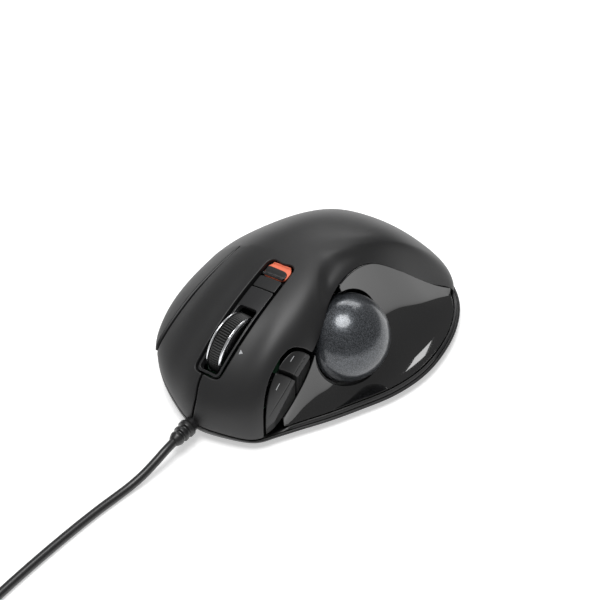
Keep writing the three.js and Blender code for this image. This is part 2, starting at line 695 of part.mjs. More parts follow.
function keySwitch() {
  return tactSwitch(5, 2, 0.4).translate([WHEEL.x, 14, KEY_BOARD.z[1] + GAP]);
}

function slideSwitch() {
  const z = KEY_BOARD.z[1] + GAP;
  return box([WHEEL.x - 3.5, WHEEL.x + 3.5], [6, 9.4], [z, z + 2.4]);
}

function sideFunctionSwitch() {
  const { x, y, z } = SIDE_SWITCH;
  const body = box([x - 4.5, x], [y - 3, y + 3], [ON_BOARD, z + 5.5]);
  const nub = rod(1.6, 0, 1, 12).rotate([0, 90, 0]).translate([x - 0.2, y, z + 4]);
  return join(body, nub);
}

const wheelEncoder = () => box([WHEEL.x + 6.1, WHEEL.x + 9.4], [31, 38], [ON_BOARD, 26]);
const wheelClickSwitch = () => tactSwitch(5, 2.8, 0.3).translate([WHEEL.x, WHEEL.y + 9.6, ON_BOARD]);
const controllerChip = () => box([18, 26], [2, 10], [ON_BOARD, ON_BOARD + 1.2]);
const cableConnector = () => box([18, 26], [44.4, 47.6], [ON_BOARD, ON_BOARD + 4.4]);

// ---------- fasteners and feet ----------
function screw(headRadius, headHeight, shankRadius, length) {
  return turned([[0, 0], [headRadius, 0], [headRadius, headHeight], [shankRadius, headHeight], [shankRadius, length], [0, length]], 16);
}

const caseScrew = ([x, y], i) => screw(2.7, 1.3, 1.25, i < 2 ? 7.6 : 4.8).translate([x, y, 1.2]);

function boardScrew([x, y]) {
  const top = BOARD.top + GAP + 1.1;
  return screw(2.3, 1.1, 1.1, 7.2).rotate([180, 0, 0]).translate([x, y, top]);
}

const FEET = [[10, 52, 4.5], [33, -8, 4.5], [10, -52, 5], [-34, -36, 4.5], [-26, 20, 3.5]];
const footPad = ([x, y, radius]) => rod(radius, 0, 0.6, 20).translate([x, y, 0]);

// ---------- cable ----------
const EXIT = { x: WHEEL.x - 0.4, start: 57.5, end: 72.5, z: CABLE.exitHeight };

function cableGland() {
  const boot = turned([
    [0, 0], [2.9, 0], [2.9, 6.2], [3.5, 6.4], [3.5, 8], [2.6, 8.2], [2.6, 9.2], [3.2, 9.4],
    [3.2, 10.8], [2.4, 11], [2.4, 12], [2.9, 12.2], [2.9, 13.4], [2.2, 15], [0, 15],
  ], 20);
  return alongY(boot, EXIT.x, EXIT.z).translate([0, EXIT.start, 0]);
}

const INNER_LEAD = [[9, 57.1, 7], [9.1, 56, 7.3], [10, 54.2, 10], [13, 52.4, 12.6], [18, 50.8, 12.8], [21.6, 49.7, 12.5], [22, 48.1, 12.4]];
// route of the free cable from the boot down to the desk and along it to the coil
const CABLE_ROUTE = [
  [9, 72.85, 7], [9.1, 77, 6.7], [9.5, 82, 5.4], [10.4, 88, 3.5], [11.6, 94, 2.2], [13, 101, 1.8],
  [14.3, 108, 1.72], [15.6, 117, 1.72], [16.8, 127, 1.72], [17.8, 137, 1.72], [18.6, 147, 1.72],
  [19.1, 157, 1.85], [19.2, 168.3, 2.2],
];
// its end from the coil to the plug
const TAIL_ROUTE = [[78.8, 168.3, 5.1], [78.8, 165, 4.7], [78.8, 161.5, 4.4], [78.8, 158, 4.3]];

function tube(points, radius, steps, sides = 8) {
  const path = new THREE.CatmullRomCurve3(points.map((p) => new THREE.Vector3(...p)), false, 'centripetal');
  const section = new THREE.Shape();
  for (let i = 0; i < sides; i += 1) {
    const angle = (2 * Math.PI * i) / sides;
    const point = [radius * Math.cos(angle), radius * Math.sin(angle)];
    if (i === 0) section.moveTo(...point);
    else section.lineTo(...point);
  }
  section.closePath();
  return solidOf(new THREE.ExtrudeGeometry(section, { steps, extrudePath: path, bevelEnabled: false }));
}

// neat coil of the length that is put away: a ring two turns high with rounded corners
const COIL = { x: 49, y: 184, outer: 31.6, inner: 9.9, bottom: 0.85, height: 7, tieThickness: 0.4 };

function cableCoil() {
  const { outer, inner, bottom, height } = COIL;
  const top = bottom + height;
  const soft = 1.6;
  return turned([
    [inner + soft, bottom], [outer - soft, bottom], [outer, bottom + soft], [outer, top - soft],
    [outer - soft, top], [inner + soft, top], [inner, top - soft], [inner, bottom + soft],
    [inner + soft, bottom],
  ], 40).translate([COIL.x, COIL.y, 0]);
}

// strap round the coil's section, on its far side
function cableTie() {
  const { outer, inner, bottom, height, tieThickness } = COIL;
  const clear = 0.35;
  const strap = [
    roundedOutline(inner - clear, outer + clear, bottom - clear, bottom + height + clear, 1.7),
    roundedOutline(
      inner - clear - tieThickness, outer + clear + tieThickness, bottom - clear - tieThickness,
      bottom + height + clear + tieThickness, 2),
  ];
  return cut(sidePrism(strap[1], -2, 2), sidePrism(strap[0], -3, 3)).translate([COIL.x, COIL.y, 0]);
}

const PLUG = { x: 78.8, front: 157.6, z: 4.3, boot: 7, body: 24, shell: 12 };

function plugBody() {
  const { x, front, z, boot, body } = PLUG;
  const grip = roundedOutline(x - 7.8, x + 7.8, z - 4.1, z + 4.1, 1.6);
  const block = solidOf(extrudedAlongY(grip, body)).translate([0, front - boot - body, 0]);
  const sleeve = alongY(rod(2.9, 0, boot + 0.5, 16), x, z).translate([0, front - boot - 0.5, 0]);
  return join(block, sleeve);
}

// section of [x, z] points swept along +y from 0
function extrudedAlongY(outline, length) {
  const shape = new THREE.Shape(outline.map(([x, z]) => new THREE.Vector2(x, -z)));
  const geometry = new THREE.ExtrudeGeometry(shape, { depth: length, bevelEnabled: false });
  return geometry.rotateX(-Math.PI / 2);
}

function plugShell() {
  const { x, front, z, boot, body, shell } = PLUG;
  const tip = front - boot - body - shell;
  const outer = box([x - 6, x + 6], [tip, tip + shell - GAP], [z - 2.25, z + 2.25]);
  const mouth = box([x - 5.7, x + 5.7], [tip - 1, tip + shell - 0.8], [z - 1.95, z + 1.95]);
  return cut(outer, mouth);
}

function plugInsert() {
  const { x, front, boot, body, shell, z } = PLUG;
  const tip = front - boot - body - shell;
  return box([x - 5.4, x + 5.4], [tip + 0.4, tip + shell - 1.1], [z - 1.65, z + 0.15]);
}

// ---------- materials ----------
function material(color, roughness, metalness = 0) {
  return new THREE.MeshStandardMaterial({ color, roughness, metalness });
}

const SOFT_TOUCH = material(0x262728, 0.62);
const KEY_PLASTIC = material(0x242526, 0.5);
const PIANO_BLACK = material(0x0a0a0b, 0.08);
const TRAY_PLASTIC = material(0x161617, 0.42);
const STRIP_PLASTIC = material(0x202122, 0.4);
const ORANGE = material(0xf08468, 0.5);
const BALL_RESIN = material(0x33373b, 0.22, 0.3);
const CUP_PLASTIC = material(0x151516, 0.5);
const CERAMIC = material(0xe8e6e0, 0.15);
const CHROME = material(0xd8dadd, 0.12, 1);
const TYRE_RUBBER = material(0x141414, 0.75);
const SWITCH_PLASTIC = material(0x1d1d1f, 0.45);
const BOARD_GREEN = material(0x1f5a3a, 0.4);
const CHIP_BLACK = material(0x131314, 0.5);
const LENS_CLEAR = material(0xd6dde2, 0.08);
const STEEL = material(0xb4b7ba, 0.3, 1);
const PAD_PLASTIC = material(0x222223, 0.6);
const CABLE_JACKET = material(0x121213, 0.42);
const TIE_PLASTIC = material(0x18181a, 0.5);
const INSERT_WHITE = material(0xe9e9e6, 0.5);

// ---------- assembly ----------
const mouse = new THREE.Group();

function piece(name, solid, look) {
  const mesh = new THREE.Mesh(geometryOf(solid), look);
  mesh.name = name;
  mouse.add(mesh);
}

piece('base_tray', baseTray(), TRAY_PLASTIC);
piece('palm_cover', palmCover(), SOFT_TOUCH);
piece('left_click_plate', leftPlate(), SOFT_TOUCH);
piece('right_click_plate', rightPlate(), SOFT_TOUCH);
piece('side_function_button', sideFunctionButton(), SOFT_TOUCH);
piece('thumb_panel', thumbPanel(), PIANO_BLACK);
piece('back_button', sideKey(true), KEY_PLASTIC);
piece('forward_button', sideKey(false), KEY_PLASTIC);
piece('wheel_bezel', wheelBezel(), STRIP_PLASTIC);
piece('function_key', functionKey(), KEY_PLASTIC);
piece('speed_slider', speedSlider(), KEY_PLASTIC);
piece('speed_indicator', speedIndicator(), ORANGE);

piece('wheel_hub', wheelHub(), SWITCH_PLASTIC);
piece('wheel_tyre', wheelTyre(), TYRE_RUBBER);
piece('wheel_ring_left', wheelRing(-1), CHROME);
piece('wheel_ring_right', wheelRing(1), CHROME);
piece('wheel_carrier', wheelCarrier(), SWITCH_PLASTIC);
piece('wheel_encoder', wheelEncoder(), SWITCH_PLASTIC);

piece('track_ball', ballSphere(BALL.radius, 28, 16), BALL_RESIN);
piece('ball_cup', ballCup(), CUP_PLASTIC);
BEAD.angles.forEach((angle, i) => piece(`ball_bearing_${i + 1}`, bead(angle), CERAMIC));
piece('sensor_lens', sensorLens(), LENS_CLEAR);
piece('sensor_chip', sensorChip(), CHIP_BLACK);
piece('sensor_board', sensorBoard(), BOARD_GREEN);

piece('main_board', mainBoard(), BOARD_GREEN);
piece('controller_chip', controllerChip(), CHIP_BLACK);
piece('left_click_switch', clickSwitch(CLICK_SWITCH.left), SWITCH_PLASTIC);
piece('right_click_switch', clickSwitch(CLICK_SWITCH.right), SWITCH_PLASTIC);
piece('wheel_click_switch', wheelClickSwitch(), SWITCH_PLASTIC);
piece('side_function_switch', sideFunctionSwitch(), SWITCH_PLASTIC);
piece('key_board', keyBoard(), BOARD_GREEN);
piece('function_key_switch', keySwitch(), SWITCH_PLASTIC);
piece('speed_slide_switch', slideSwitch(), SWITCH_PLASTIC);
piece('side_key_board', sideKeyBoard(), BOARD_GREEN);
piece('back_switch', sideKeySwitch(31.5, 17), SWITCH_PLASTIC);
piece('forward_switch', sideKeySwitch(39.6, 13.4), SWITCH_PLASTIC);
piece('cable_connector', cableConnector(), SWITCH_PLASTIC);

CASE_SCREWS.forEach((place, i) => piece(`case_screw_${i + 1}`, caseScrew(place, i), STEEL));
BOARD_SCREWS.forEach((place, i) => piece(`board_screw_${i + 1}`, boardScrew(place), STEEL));
FEET.forEach((foot, i) => piece(`foot_pad_${i + 1}`, footPad(foot), PAD_PLASTIC));

piece('cable_gland', cableGland(), CABLE_JACKET);
piece('inner_lead', tube(INNER_LEAD, 1.3, 8), CABLE_JACKET);
piece('cable_free', tube(CABLE_ROUTE, CABLE.radius, 16), CABLE_JACKET);
piece('cable_coil', cableCoil(), CABLE_JACKET);
piece('cable_tail', tube(TAIL_ROUTE, CABLE.radius, 2), CABLE_JACKET);
piece('cable_tie', cableTie(), TIE_PLASTIC);
piece('usb_plug_body', plugBody(), CABLE_JACKET);
piece('usb_plug_shell', plugShell(), STEEL);
piece('usb_plug_insert', plugInsert(), INSERT_WHITE);

export default mouse;
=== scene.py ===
"""Looks of the corded trackball mouse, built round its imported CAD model.

Shapes are worked out in millimetres, in the CAD frame: +X is the user's right, +Y points forward
along the cable, +Z is up. Meshes are written in metres.
"""
import math

import bmesh
import bpy
import numpy as np
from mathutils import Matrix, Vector
from mathutils.geometry import delaunay_2d_cdt


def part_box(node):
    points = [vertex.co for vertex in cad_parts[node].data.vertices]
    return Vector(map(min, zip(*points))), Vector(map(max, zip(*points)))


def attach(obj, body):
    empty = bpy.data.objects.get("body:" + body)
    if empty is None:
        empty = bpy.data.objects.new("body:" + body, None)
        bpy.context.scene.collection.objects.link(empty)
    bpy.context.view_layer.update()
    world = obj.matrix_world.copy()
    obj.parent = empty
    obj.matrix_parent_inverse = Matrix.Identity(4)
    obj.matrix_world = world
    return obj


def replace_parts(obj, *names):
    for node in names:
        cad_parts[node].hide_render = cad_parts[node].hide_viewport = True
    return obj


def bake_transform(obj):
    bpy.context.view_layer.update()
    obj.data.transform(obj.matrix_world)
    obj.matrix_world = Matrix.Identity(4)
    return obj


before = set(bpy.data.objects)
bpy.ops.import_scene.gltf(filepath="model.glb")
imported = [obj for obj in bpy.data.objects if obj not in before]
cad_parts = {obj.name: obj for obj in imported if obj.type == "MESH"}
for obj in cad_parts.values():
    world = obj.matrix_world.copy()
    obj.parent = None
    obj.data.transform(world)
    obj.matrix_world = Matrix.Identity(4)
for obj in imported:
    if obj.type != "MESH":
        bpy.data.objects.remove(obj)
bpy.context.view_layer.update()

MM = 0.001

# ---------- camera ----------
CAMERA_AT = (-0.2145, 0.3015, 0.4362)
CAMERA_TO = (0.0058, -0.0016, 0.0200)


def placed(name, data):
    thing = bpy.data.objects.new(name, data)
    bpy.context.scene.collection.objects.link(thing)
    return thing


def aimed(thing, at, to):
    thing.location = at
    thing.rotation_mode = "QUATERNION"
    thing.rotation_quaternion = (Vector(to) - Vector(at)).to_track_quat("-Z", "Y")


camera = placed("camera", bpy.data.cameras.new("camera"))
aimed(camera, CAMERA_AT, CAMERA_TO)
camera.data.lens = 87.4
camera.data.sensor_width = 36
camera.data.clip_start = 0.01
camera.data.clip_end = 20
bpy.context.scene.camera = camera

# ---------- driving dimensions in mm --------------------------------
HUB = np.array([9.0, -6.0])  # plan point that outlines are measured from, by angle
DISC = 62.0  # radius of the flat disc that stands for the covers
SEAM = 0.9  # step between tray and covers
SLIT = 0.8  # gap between neighbouring covers
HINGE_Y = 7  # rear end of the click plates
RAIL_END_Y = 1  # rear end of the side button
BALL = np.array([-19.5, 4, 21.0])
BALL_RADIUS = 17
WHEEL = np.array([9.4, 35.3, 26.3])
WHEEL_RADIUS = 12.3
DESK_CLEARANCE = 0.9
FLOOR_TOP = 2.9
TUCK = 3  # how far the tray's wall draws in at the bottom
WING_RIM = 5.5  # height of the thumb panel's outer rim
WING_INSET = 2.8
WING_CLEAR = 0.5
WING_START, WING_END = 119.5, 225.8  # degrees
RECESS = (3.3, 15.5, 4, 52, 2.6)  # wheel strip's opening: left, right, rear, front, corner
STRIP_DEPTH = 0.8
FEET = [(10, 52, 4.5), (33, -8, 4.5), (10, -52, 5), (-34, -36, 4.5), (-26, 20, 3.5)]
CASE_SCREWS = [(31, -33), (-6, -51), (-32, -22), (-20.5, 27.2)]

FOOT = [
    (9, 61.9), (20, 58.6), (31, 52.6), (39.3, 44.5), (44.3, 33), (46.8, 18), (47.35, 2),
    (46.2, -16), (42, -34), (33.5, -49), (20, -58.5), (4, -61.5), (-12, -61.2), (-27, -58),
    (-38, -49.5), (-44.8, -36), (-47.35, -20), (-46.6, -8), (-42.8, 5), (-36.3, 17.8), (-30, 29),
    (-23.8, 38.6), (-18.5, 47), (-14.5, 53.2), (-5, 58.2),
]
HUMP = FOOT[:13] + [
    (-27, -57.7), (-34, -51.5), (-33.5, -40), (-30, -29), (-27.5, -16), (-24, -4), (-22.5, 8),
    (-22.5, 20), (-21.5, 33), (-19, 43), (-16, 50.5), (-13.5, 54), (-5, 58.2),
]
CREASE = [
    (-17, 49.5, 5), (-18, 41, 10), (-18, 33, 14.5), (-18, 25, 22), (-16.3, 15, 34), (-13, 5, 38.5),
    (-12.3, -2, 41), (-12.8, -10, 41.5), (-15, -18, 39.5), (-18.8, -24.5, 34.5), (-22.8, -30.5, 28),
    (-27.2, -38.8, 18.5), (-31, -46, 11.5), (-34, -51.5, 7.5),
]
SPINE = [
    (-62.2, 28), (-50, 36.5), (-38, 43), (-26, 46.2), (-12, 47), (2, 45.4), (16, 42.6), (30, 39.2),
    (45, 34.8), (62, 30),
]
FALL = [(-40, 5), (-24, 1.6), (-10, -0.6), (0, 0), (10, 1.4), (20, 4), (30, 8), (40, 13), (48, 17)]
WAIST = [
    (-90, 6), (-60, 8), (-30, 12), (0, 16), (30, 17), (60, 13), (90, 7), (115, 4.5), (140, 4),
    (180, 4), (220, 5), (270, 6),
]
SIDE_LINE = [(33, -1), (35.3, 12), (36.6, 24), (37.2, 36), (37.4, 47), (37.4, 66)]
KEY_LINE = [
    (-20.6, 20.6), (-18, 23.4), (-15.7, 26), (-13.3, 29.4), (-12.3, 34), (-12.6, 42), (-14.3, 47.5),
    (-16.6, 51), (-19, 53),
]
NOSE_LINE = [(11, 50), (10.4, 55), (9, 59), (8.6, 66)]


# ---------- curves ----------
def smooth_curve(points, closed=False, steps=24):
    """Centripetal Catmull-Rom curve through the points."""
    p = np.array(points, float)
    if closed:
        p = np.vstack([p[-1:], p, p[:2]])
    else:
        p = np.vstack([2 * p[0] - p[1], p, 2 * p[-1] - p[-2]])
    found = []
    for p0, p1, p2, p3 in zip(p, p[1:], p[2:], p[3:]):
        t1 = np.linalg.norm(p1 - p0) ** 0.5
        t2 = t1 + np.linalg.norm(p2 - p1) ** 0.5
        t3 = t2 + np.linalg.norm(p3 - p2) ** 0.5
        t = np.linspace(t1, t2, steps, endpoint=False)[:, None]
        a1 = (t1 - t) / t1 * p0 + t / t1 * p1
        a2 = (t2 - t) / (t2 - t1) * p1 + (t - t1) / (t2 - t1) * p2
        a3 = (t3 - t) / (t3 - t2) * p2 + (t - t2) / (t3 - t2) * p3
        b1 = (t2 - t) / t2 * a1 + t / t2 * a2
        b2 = (t3 - t) / (t3 - t1) * a2 + (t - t1) / (t3 - t1) * a3
        found.append((t2 - t) / (t2 - t1) * b1 + (t - t1) / (t2 - t1) * b2)
    curve = np.vstack(found)
    return curve if closed else np.vstack([curve, p[-2:-1]])


def blurred(values, sigma, wrap=False):
    """Gaussian blur of evenly spaced rows; open ends stay where they are."""
    if sigma < 0.3:
        return values
    reach = min(int(4 * sigma) + 1, len(values) - 1)
    offsets = np.arange(-reach, reach + 1)
    kernel = np.exp(-0.5 * (offsets / sigma) ** 2)
    kernel /= kernel.sum()
    wide = values.reshape(len(values), -1)
    if wrap:
        padded = np.vstack([wide[-reach:], wide, wide[:reach]])
    else:
        padded = np.vstack([
            2 * wide[0] - wide[reach:0:-1], wide, 2 * wide[-1] - wide[-2:-reach - 2:-1]])
    columns = [np.convolve(padded[:, i], kernel, "valid") for i in range(wide.shape[1])]
    return np.stack(columns, axis=1).reshape(values.shape)


def polar_angle(x, y):
    return np.mod(np.arctan2(y - HUB[1], x - HUB[0]), 2 * np.pi)


def hub_distance(x, y):
    return np.hypot(x - HUB[0], y - HUB[1])


def radius_of(outline):
    """Radius of a closed outline by angle, gently smoothed."""
    curve = smooth_curve(outline, closed=True)
    angle = polar_angle(curve[:, 0], curve[:, 1])
    order = np.argsort(angle)
    grid = np.arange(4096) / 4096 * 2 * np.pi
    radius = hub_distance(curve[:, 0], curve[:, 1])
    radius = np.interp(grid, angle[order], radius[order], period=2 * np.pi)
    radius = blurred(radius, 16, wrap=True)
    return lambda a: np.interp(a, grid, radius, period=2 * np.pi)


def open_table(keys, values, sigma):
    order = np.argsort(keys)
    grid = np.linspace(keys.min(), keys.max(), 2000)
    smooth = blurred(np.interp(grid, keys[order], values[order]), sigma)
    return lambda k: np.interp(k, grid, smooth)


def profile_of(points, sigma=40):
    curve = smooth_curve(points)
    return open_table(curve[:, 0], curve[:, 1], sigma)


foot_radius = radius_of(FOOT)
hump_radius = radius_of(HUMP)
crease_curve = smooth_curve(CREASE)
crease_angles = polar_angle(crease_curve[:, 0], crease_curve[:, 1])


def crease_radius_table():
    """Crease radius by angle; past its rear end it goes on growing, so that the cover stays smooth."""
    radius = hub_distance(crease_curve[:, 0], crease_curve[:, 1])
    growth = (radius[-1] - radius[-6]) / (crease_angles[-1] - crease_angles[-6])
    beyond = 0.5
    return open_table(np.append(crease_angles, crease_angles[-1] + beyond),
                      np.append(radius, radius[-1] + growth * beyond), 24)


crease_radius = crease_radius_table()
crease_height = open_table(crease_angles, crease_curve[:, 2], 30)
spine = profile_of(SPINE)
fall = profile_of(FALL)
waist_by_angle = profile_of(WAIST)


def waist(angle):
    return waist_by_angle(np.degrees(np.mod(angle + np.pi / 2, 2 * np.pi)) - 90)


def smoothstep(value, low, high):
    t = np.clip((value - low) / (high - low), 0, 1)
    return t * t * (3 - 2 * t)


def bell(value, middle, width):
    return np.exp(-(((value - middle) / width) ** 2))


# ---------- surfaces ----------
def shoulder(angle):
    ahead = np.clip(np.sin(angle), 0, 1) ** 2
    behind = np.clip(-np.sin(angle), 0, 1) ** 2
    right = np.clip(np.cos(angle), 0, 1) ** 2 * np.clip(0.55 + np.sin(angle), 0, 1)
    return 3 + 2 * ahead - 0.3 * behind + right


def dome_height(x, y):
    angle = polar_angle(x, y)
    reach = np.minimum(hub_distance(x, y) / hump_radius(angle), 1)
    steeper = np.where(x > 0, 1 + 0.55 * np.clip(-y / 35, 0, 1), 1)
    base = waist(angle) + SEAM
    roof = spine(y) - fall(x) * steeper
    return base + (roof - base) * np.sqrt(np.maximum(1 - reach ** shoulder(angle), 0))


def dip_table():
    """Share of the cover's height that it loses at the crease, by angle."""
    angle = np.linspace(0, 2 * np.pi, 2881)
    degree = np.degrees(angle)
    fade = smoothstep(degree, 134, 148) * (1 - smoothstep(degree, 226, 240))
    radius = crease_radius(angle)
    full = dome_height(HUB[0] + radius * np.cos(angle), HUB[1] + radius * np.sin(angle))
    base = waist(angle) + SEAM
    dip = 1 - (crease_height(angle) - base) / np.maximum(full - base, 1)
    tail = 224.0  # from here on the crease is too near the cover's edge to measure the dip
    dip = np.where(degree > tail, np.interp(tail, degree, dip), dip)
    dip = blurred(fade * dip, 8)
    return lambda a: np.interp(a, angle, dip)


crease_dip = dip_table()


def finger_grooves(x, y):
    """Soft hollows of the click plates beside the wheel strip."""
    left = 0.7 * bell(x, -1.2, 4.2) * smoothstep(y, 16, 44)
    right = 0.8 * bell(x, 23.5, 5.5) * smoothstep(y, -4, 22)
    return left + right


def cover_point(flat):
    """Outer surface of the covers. flat is a disc of radius DISC whose rim is the cover's lower edge."""
    angle = np.mod(np.arctan2(flat[:, 1], flat[:, 0]), 2 * np.pi)
    share = np.hypot(flat[:, 0], flat[:, 1]) / DISC
    reach = 1 - (1 - share) ** 2
    distance = reach * hump_radius(angle)
    x = HUB[0] + distance * np.cos(angle)
    y = HUB[1] + distance * np.sin(angle)
    base = waist(angle) + SEAM
    near = np.clip((distance / crease_radius(angle) - 0.6) / 0.4, 0, 1)
    rise = (dome_height(x, y) - base) * (1 - crease_dip(angle) * near ** 2)
    z = base + np.where(share > 1, -rise, rise)
    degree = np.degrees(angle)
    inside = crease_radius(angle) - distance
    span = smoothstep(degree, 140, 160) * (1 - smoothstep(degree, 192, 214))
    valley = 0.9 * bell(inside, 5.0, 3.0) * span
    z = z - valley - finger_grooves(x, y) * (1 - reach ** 8)
    return np.stack([x, y, z], axis=1)



def cover_flat(x, y):
    """Disc coordinates of plan points on the cover."""
    x, y = np.asarray(x, float), np.asarray(y, float)
    angle = polar_angle(x, y)
    reach = np.clip(hub_distance(x, y) / hump_radius(angle), 0, 1)
    share = DISC * (1 - np.sqrt(1 - reach))
    return np.stack([share * np.cos(angle), share * np.sin(angle)], axis=-1)


def wing_point(flat):
    """Gloss thumb panel over plan points, from its low outer rim up to the crease."""
    angle = polar_angle(flat[:, 0], flat[:, 1])
    outer = foot_radius(angle) - WING_INSET
    inner = crease_radius(angle) + WING_CLEAR
    across = (outer - hub_distance(flat[:, 0], flat[:, 1])) / (outer - inner)
    across = np.clip(across, 0, 1.03)
    hollow = 1.3 + 1.5 * bell(np.degrees(angle), 190, 42)
    z = WING_RIM + (crease_height(angle) - WING_RIM) * across ** hollow
    return np.stack([flat[:, 0], flat[:, 1], z], axis=1)


# ---------- loops ----------
def resampled(points, step, closed=False):
    """Evenly spaced points along a polyline."""
    p = np.asarray(points, float)
    if closed:
        p = np.vstack([p, p[:1]])
    length = np.concatenate([[0], np.cumsum(np.linalg.norm(np.diff(p, axis=0), axis=1))])
    count = max(int(round(length[-1] / step)), 2)
    at = np.linspace(0, length[-1], count + 1)
    even = np.stack([np.interp(at, length, p[:, i]) for i in range(p.shape[1])], axis=1)
    return even[:-1] if closed else even


FINE = 0.1


def edge(points, step=0.5, soft=0.35):
    """Part of a loop that gets a rounded edge; its corners are softened."""
    dense = blurred(resampled(points, FINE), soft / FINE)
    even = resampled(dense, step)
    return even, np.ones(len(even))


def joint_line(points, step=0.9):
    """Part of a loop where two pieces run on into each other without a visible line."""
    even = resampled(points, step)[1:-1]
    return even, np.zeros(len(even))


def whole_edge(points, step=0.5, soft=0.35):
    dense = blurred(resampled(points, FINE, closed=True), soft / FINE, wrap=True)
    even = resampled(dense, step, closed=True)
    return even, np.ones(len(even))


def loop_of(*parts):
    return np.vstack([p for p, _ in parts]), np.concatenate([m for _, m in parts])


def rounded_box(left, right, rear, front, corner, count=8):
    """Counter-clockwise outline of an upright box seen from above."""
    corners = [
        (right - corner, rear + corner, -90), (right - corner, front - corner, 0),
        (left + corner, front - corner, 90), (left + corner, rear + corner, 180)]
    points = []
    for x, y, start in corners:
        for angle in np.radians(np.linspace(start, start + 90, count)):
            points.append((x + corner * math.cos(angle), y + corner * math.sin(angle)))
    return np.array(points)


# ---------- meshes ----------
ROUND_STEPS = 4
FINE_SPACING = 0.4


def inside_loops(points, loops):
    """Even-odd test of points against closed loops."""
    found = np.zeros(len(points), bool)
    x, y = points[:, 0], points[:, 1]
    for loop in loops:
        for (x0, y0), (x1, y1) in zip(loop, np.roll(loop, -1, axis=0)):
            if y0 == y1:
                continue
            crosses = (y0 > y) != (y1 > y)
            found ^= crosses & (x < (x1 - x0) * (y - y0) / (y1 - y0) + x0)
    return found


def distance_to(points, targets):
    nearest = np.full(len(points), 1e9)
    for chunk in np.array_split(targets, max(len(targets) // 64, 1)):
        gap = np.hypot(points[:, None, 0] - chunk[None, :, 0],
                       points[:, None, 1] - chunk[None, :, 1])
        nearest = np.minimum(nearest, gap.min(axis=1))
    return nearest


def frame_at(surface, flat, step=0.05):
    """Two tangents and the normal of a surface at flat points."""
    du = (surface(flat + [step, 0]) - surface(flat - [step, 0])) / (2 * step)
    dv = (surface(flat + [0, step]) - surface(flat - [0, step])) / (2 * step)
    normal = np.cross(du, dv)
    normal /= np.linalg.norm(normal, axis=1)[:, None]
    return du, dv, normal


def hexagons(low, high, spacing):
    rows = np.arange(low[1], high[1], spacing * 0.866)
    lines = []
    for i, y in enumerate(rows):
        x = np.arange(low[0] + (i % 2) * spacing / 2, high[0], spacing)
        lines.append(np.stack([x, np.full(len(x), y)], axis=1))
    return np.vstack(lines)


def triangulated(loops, spacing, fine=None):
    """Triangles that fill the loops, over a grid that is denser where fine(points) holds."""
    border = np.vstack(loops)
    low, high = border.min(axis=0), border.max(axis=0)
    grid = hexagons(low, high, spacing)
    grid = grid[inside_loops(grid, loops)]
    grid = grid[distance_to(grid, border) > 0.62 * spacing]
    if fine:
        dense = hexagons(low, high, FINE_SPACING)
        dense = dense[fine(dense)]
        dense = dense[inside_loops(dense, loops)]
        dense = dense[distance_to(dense, border) > 0.62 * FINE_SPACING]
        grid = np.vstack([grid[~fine(grid)], dense])
    points = np.vstack([border, grid])
    edges, start = [], 0
    for loop in loops:
        n = len(loop)
        edges += [(start + i, start + (i + 1) % n) for i in range(n)]
        start += n
    result = delaunay_2d_cdt([Vector(p) for p in points], edges, [], 0, 1e-6, True)
    origin = [ids[0] for ids in result[3]]
    faces = np.array([[origin[i] for i in f] for f in result[2]])
    centre = points[faces].mean(axis=1)
    faces = faces[inside_loops(centre, loops)]
    a, b, c = (points[faces[:, i]] for i in range(3))
    turn = (b[:, 0] - a[:, 0]) * (c[:, 1] - a[:, 1]) - (b[:, 1] - a[:, 1]) * (c[:, 0] - a[:, 0])
    faces[turn < 0] = faces[turn < 0][:, ::-1]
    return points, faces


def object_of(name, mesh, material, body, replaced=()):
    thing = placed(name, mesh)
    mesh.materials.clear()
    mesh.materials.append(material)
    if body:
        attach(thing, body)
    if replaced:
        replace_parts(thing, *replaced)
    return thing


def crossings(loop):
    """Pairs of a closed loop's segments that cross each other."""
    a, b = loop, np.roll(loop, -1, axis=0)

    def side(p, q, r):
        return (q[:, None, 0] - p[:, None, 0]) * (r[None, :, 1] - p[:, None, 1]) - (
            q[:, None, 1] - p[:, None, 1]) * (r[None, :, 0] - p[:, None, 0])

    apart = (side(a, b, a) * side(a, b, b)) < 0
    found = np.argwhere(apart & apart.T)
    return [(i, j) for i, j in found if i < j]


def clean_inset(flat, way, distance):
    """Distances by which the loop can be moved inward without crossing itself at sharp corners."""
    distance = distance.copy()
    count = len(flat)
    for _ in range(8):
        pairs = crossings(flat + way * distance[:, None])
        if not pairs:
            break
        for i, j in pairs:
            span = range(i - 1, j + 3) if j - i < count / 2 else range(j - 1, i + count + 3)
            for k in span:
                distance[k % count] *= 0.5
    return distance


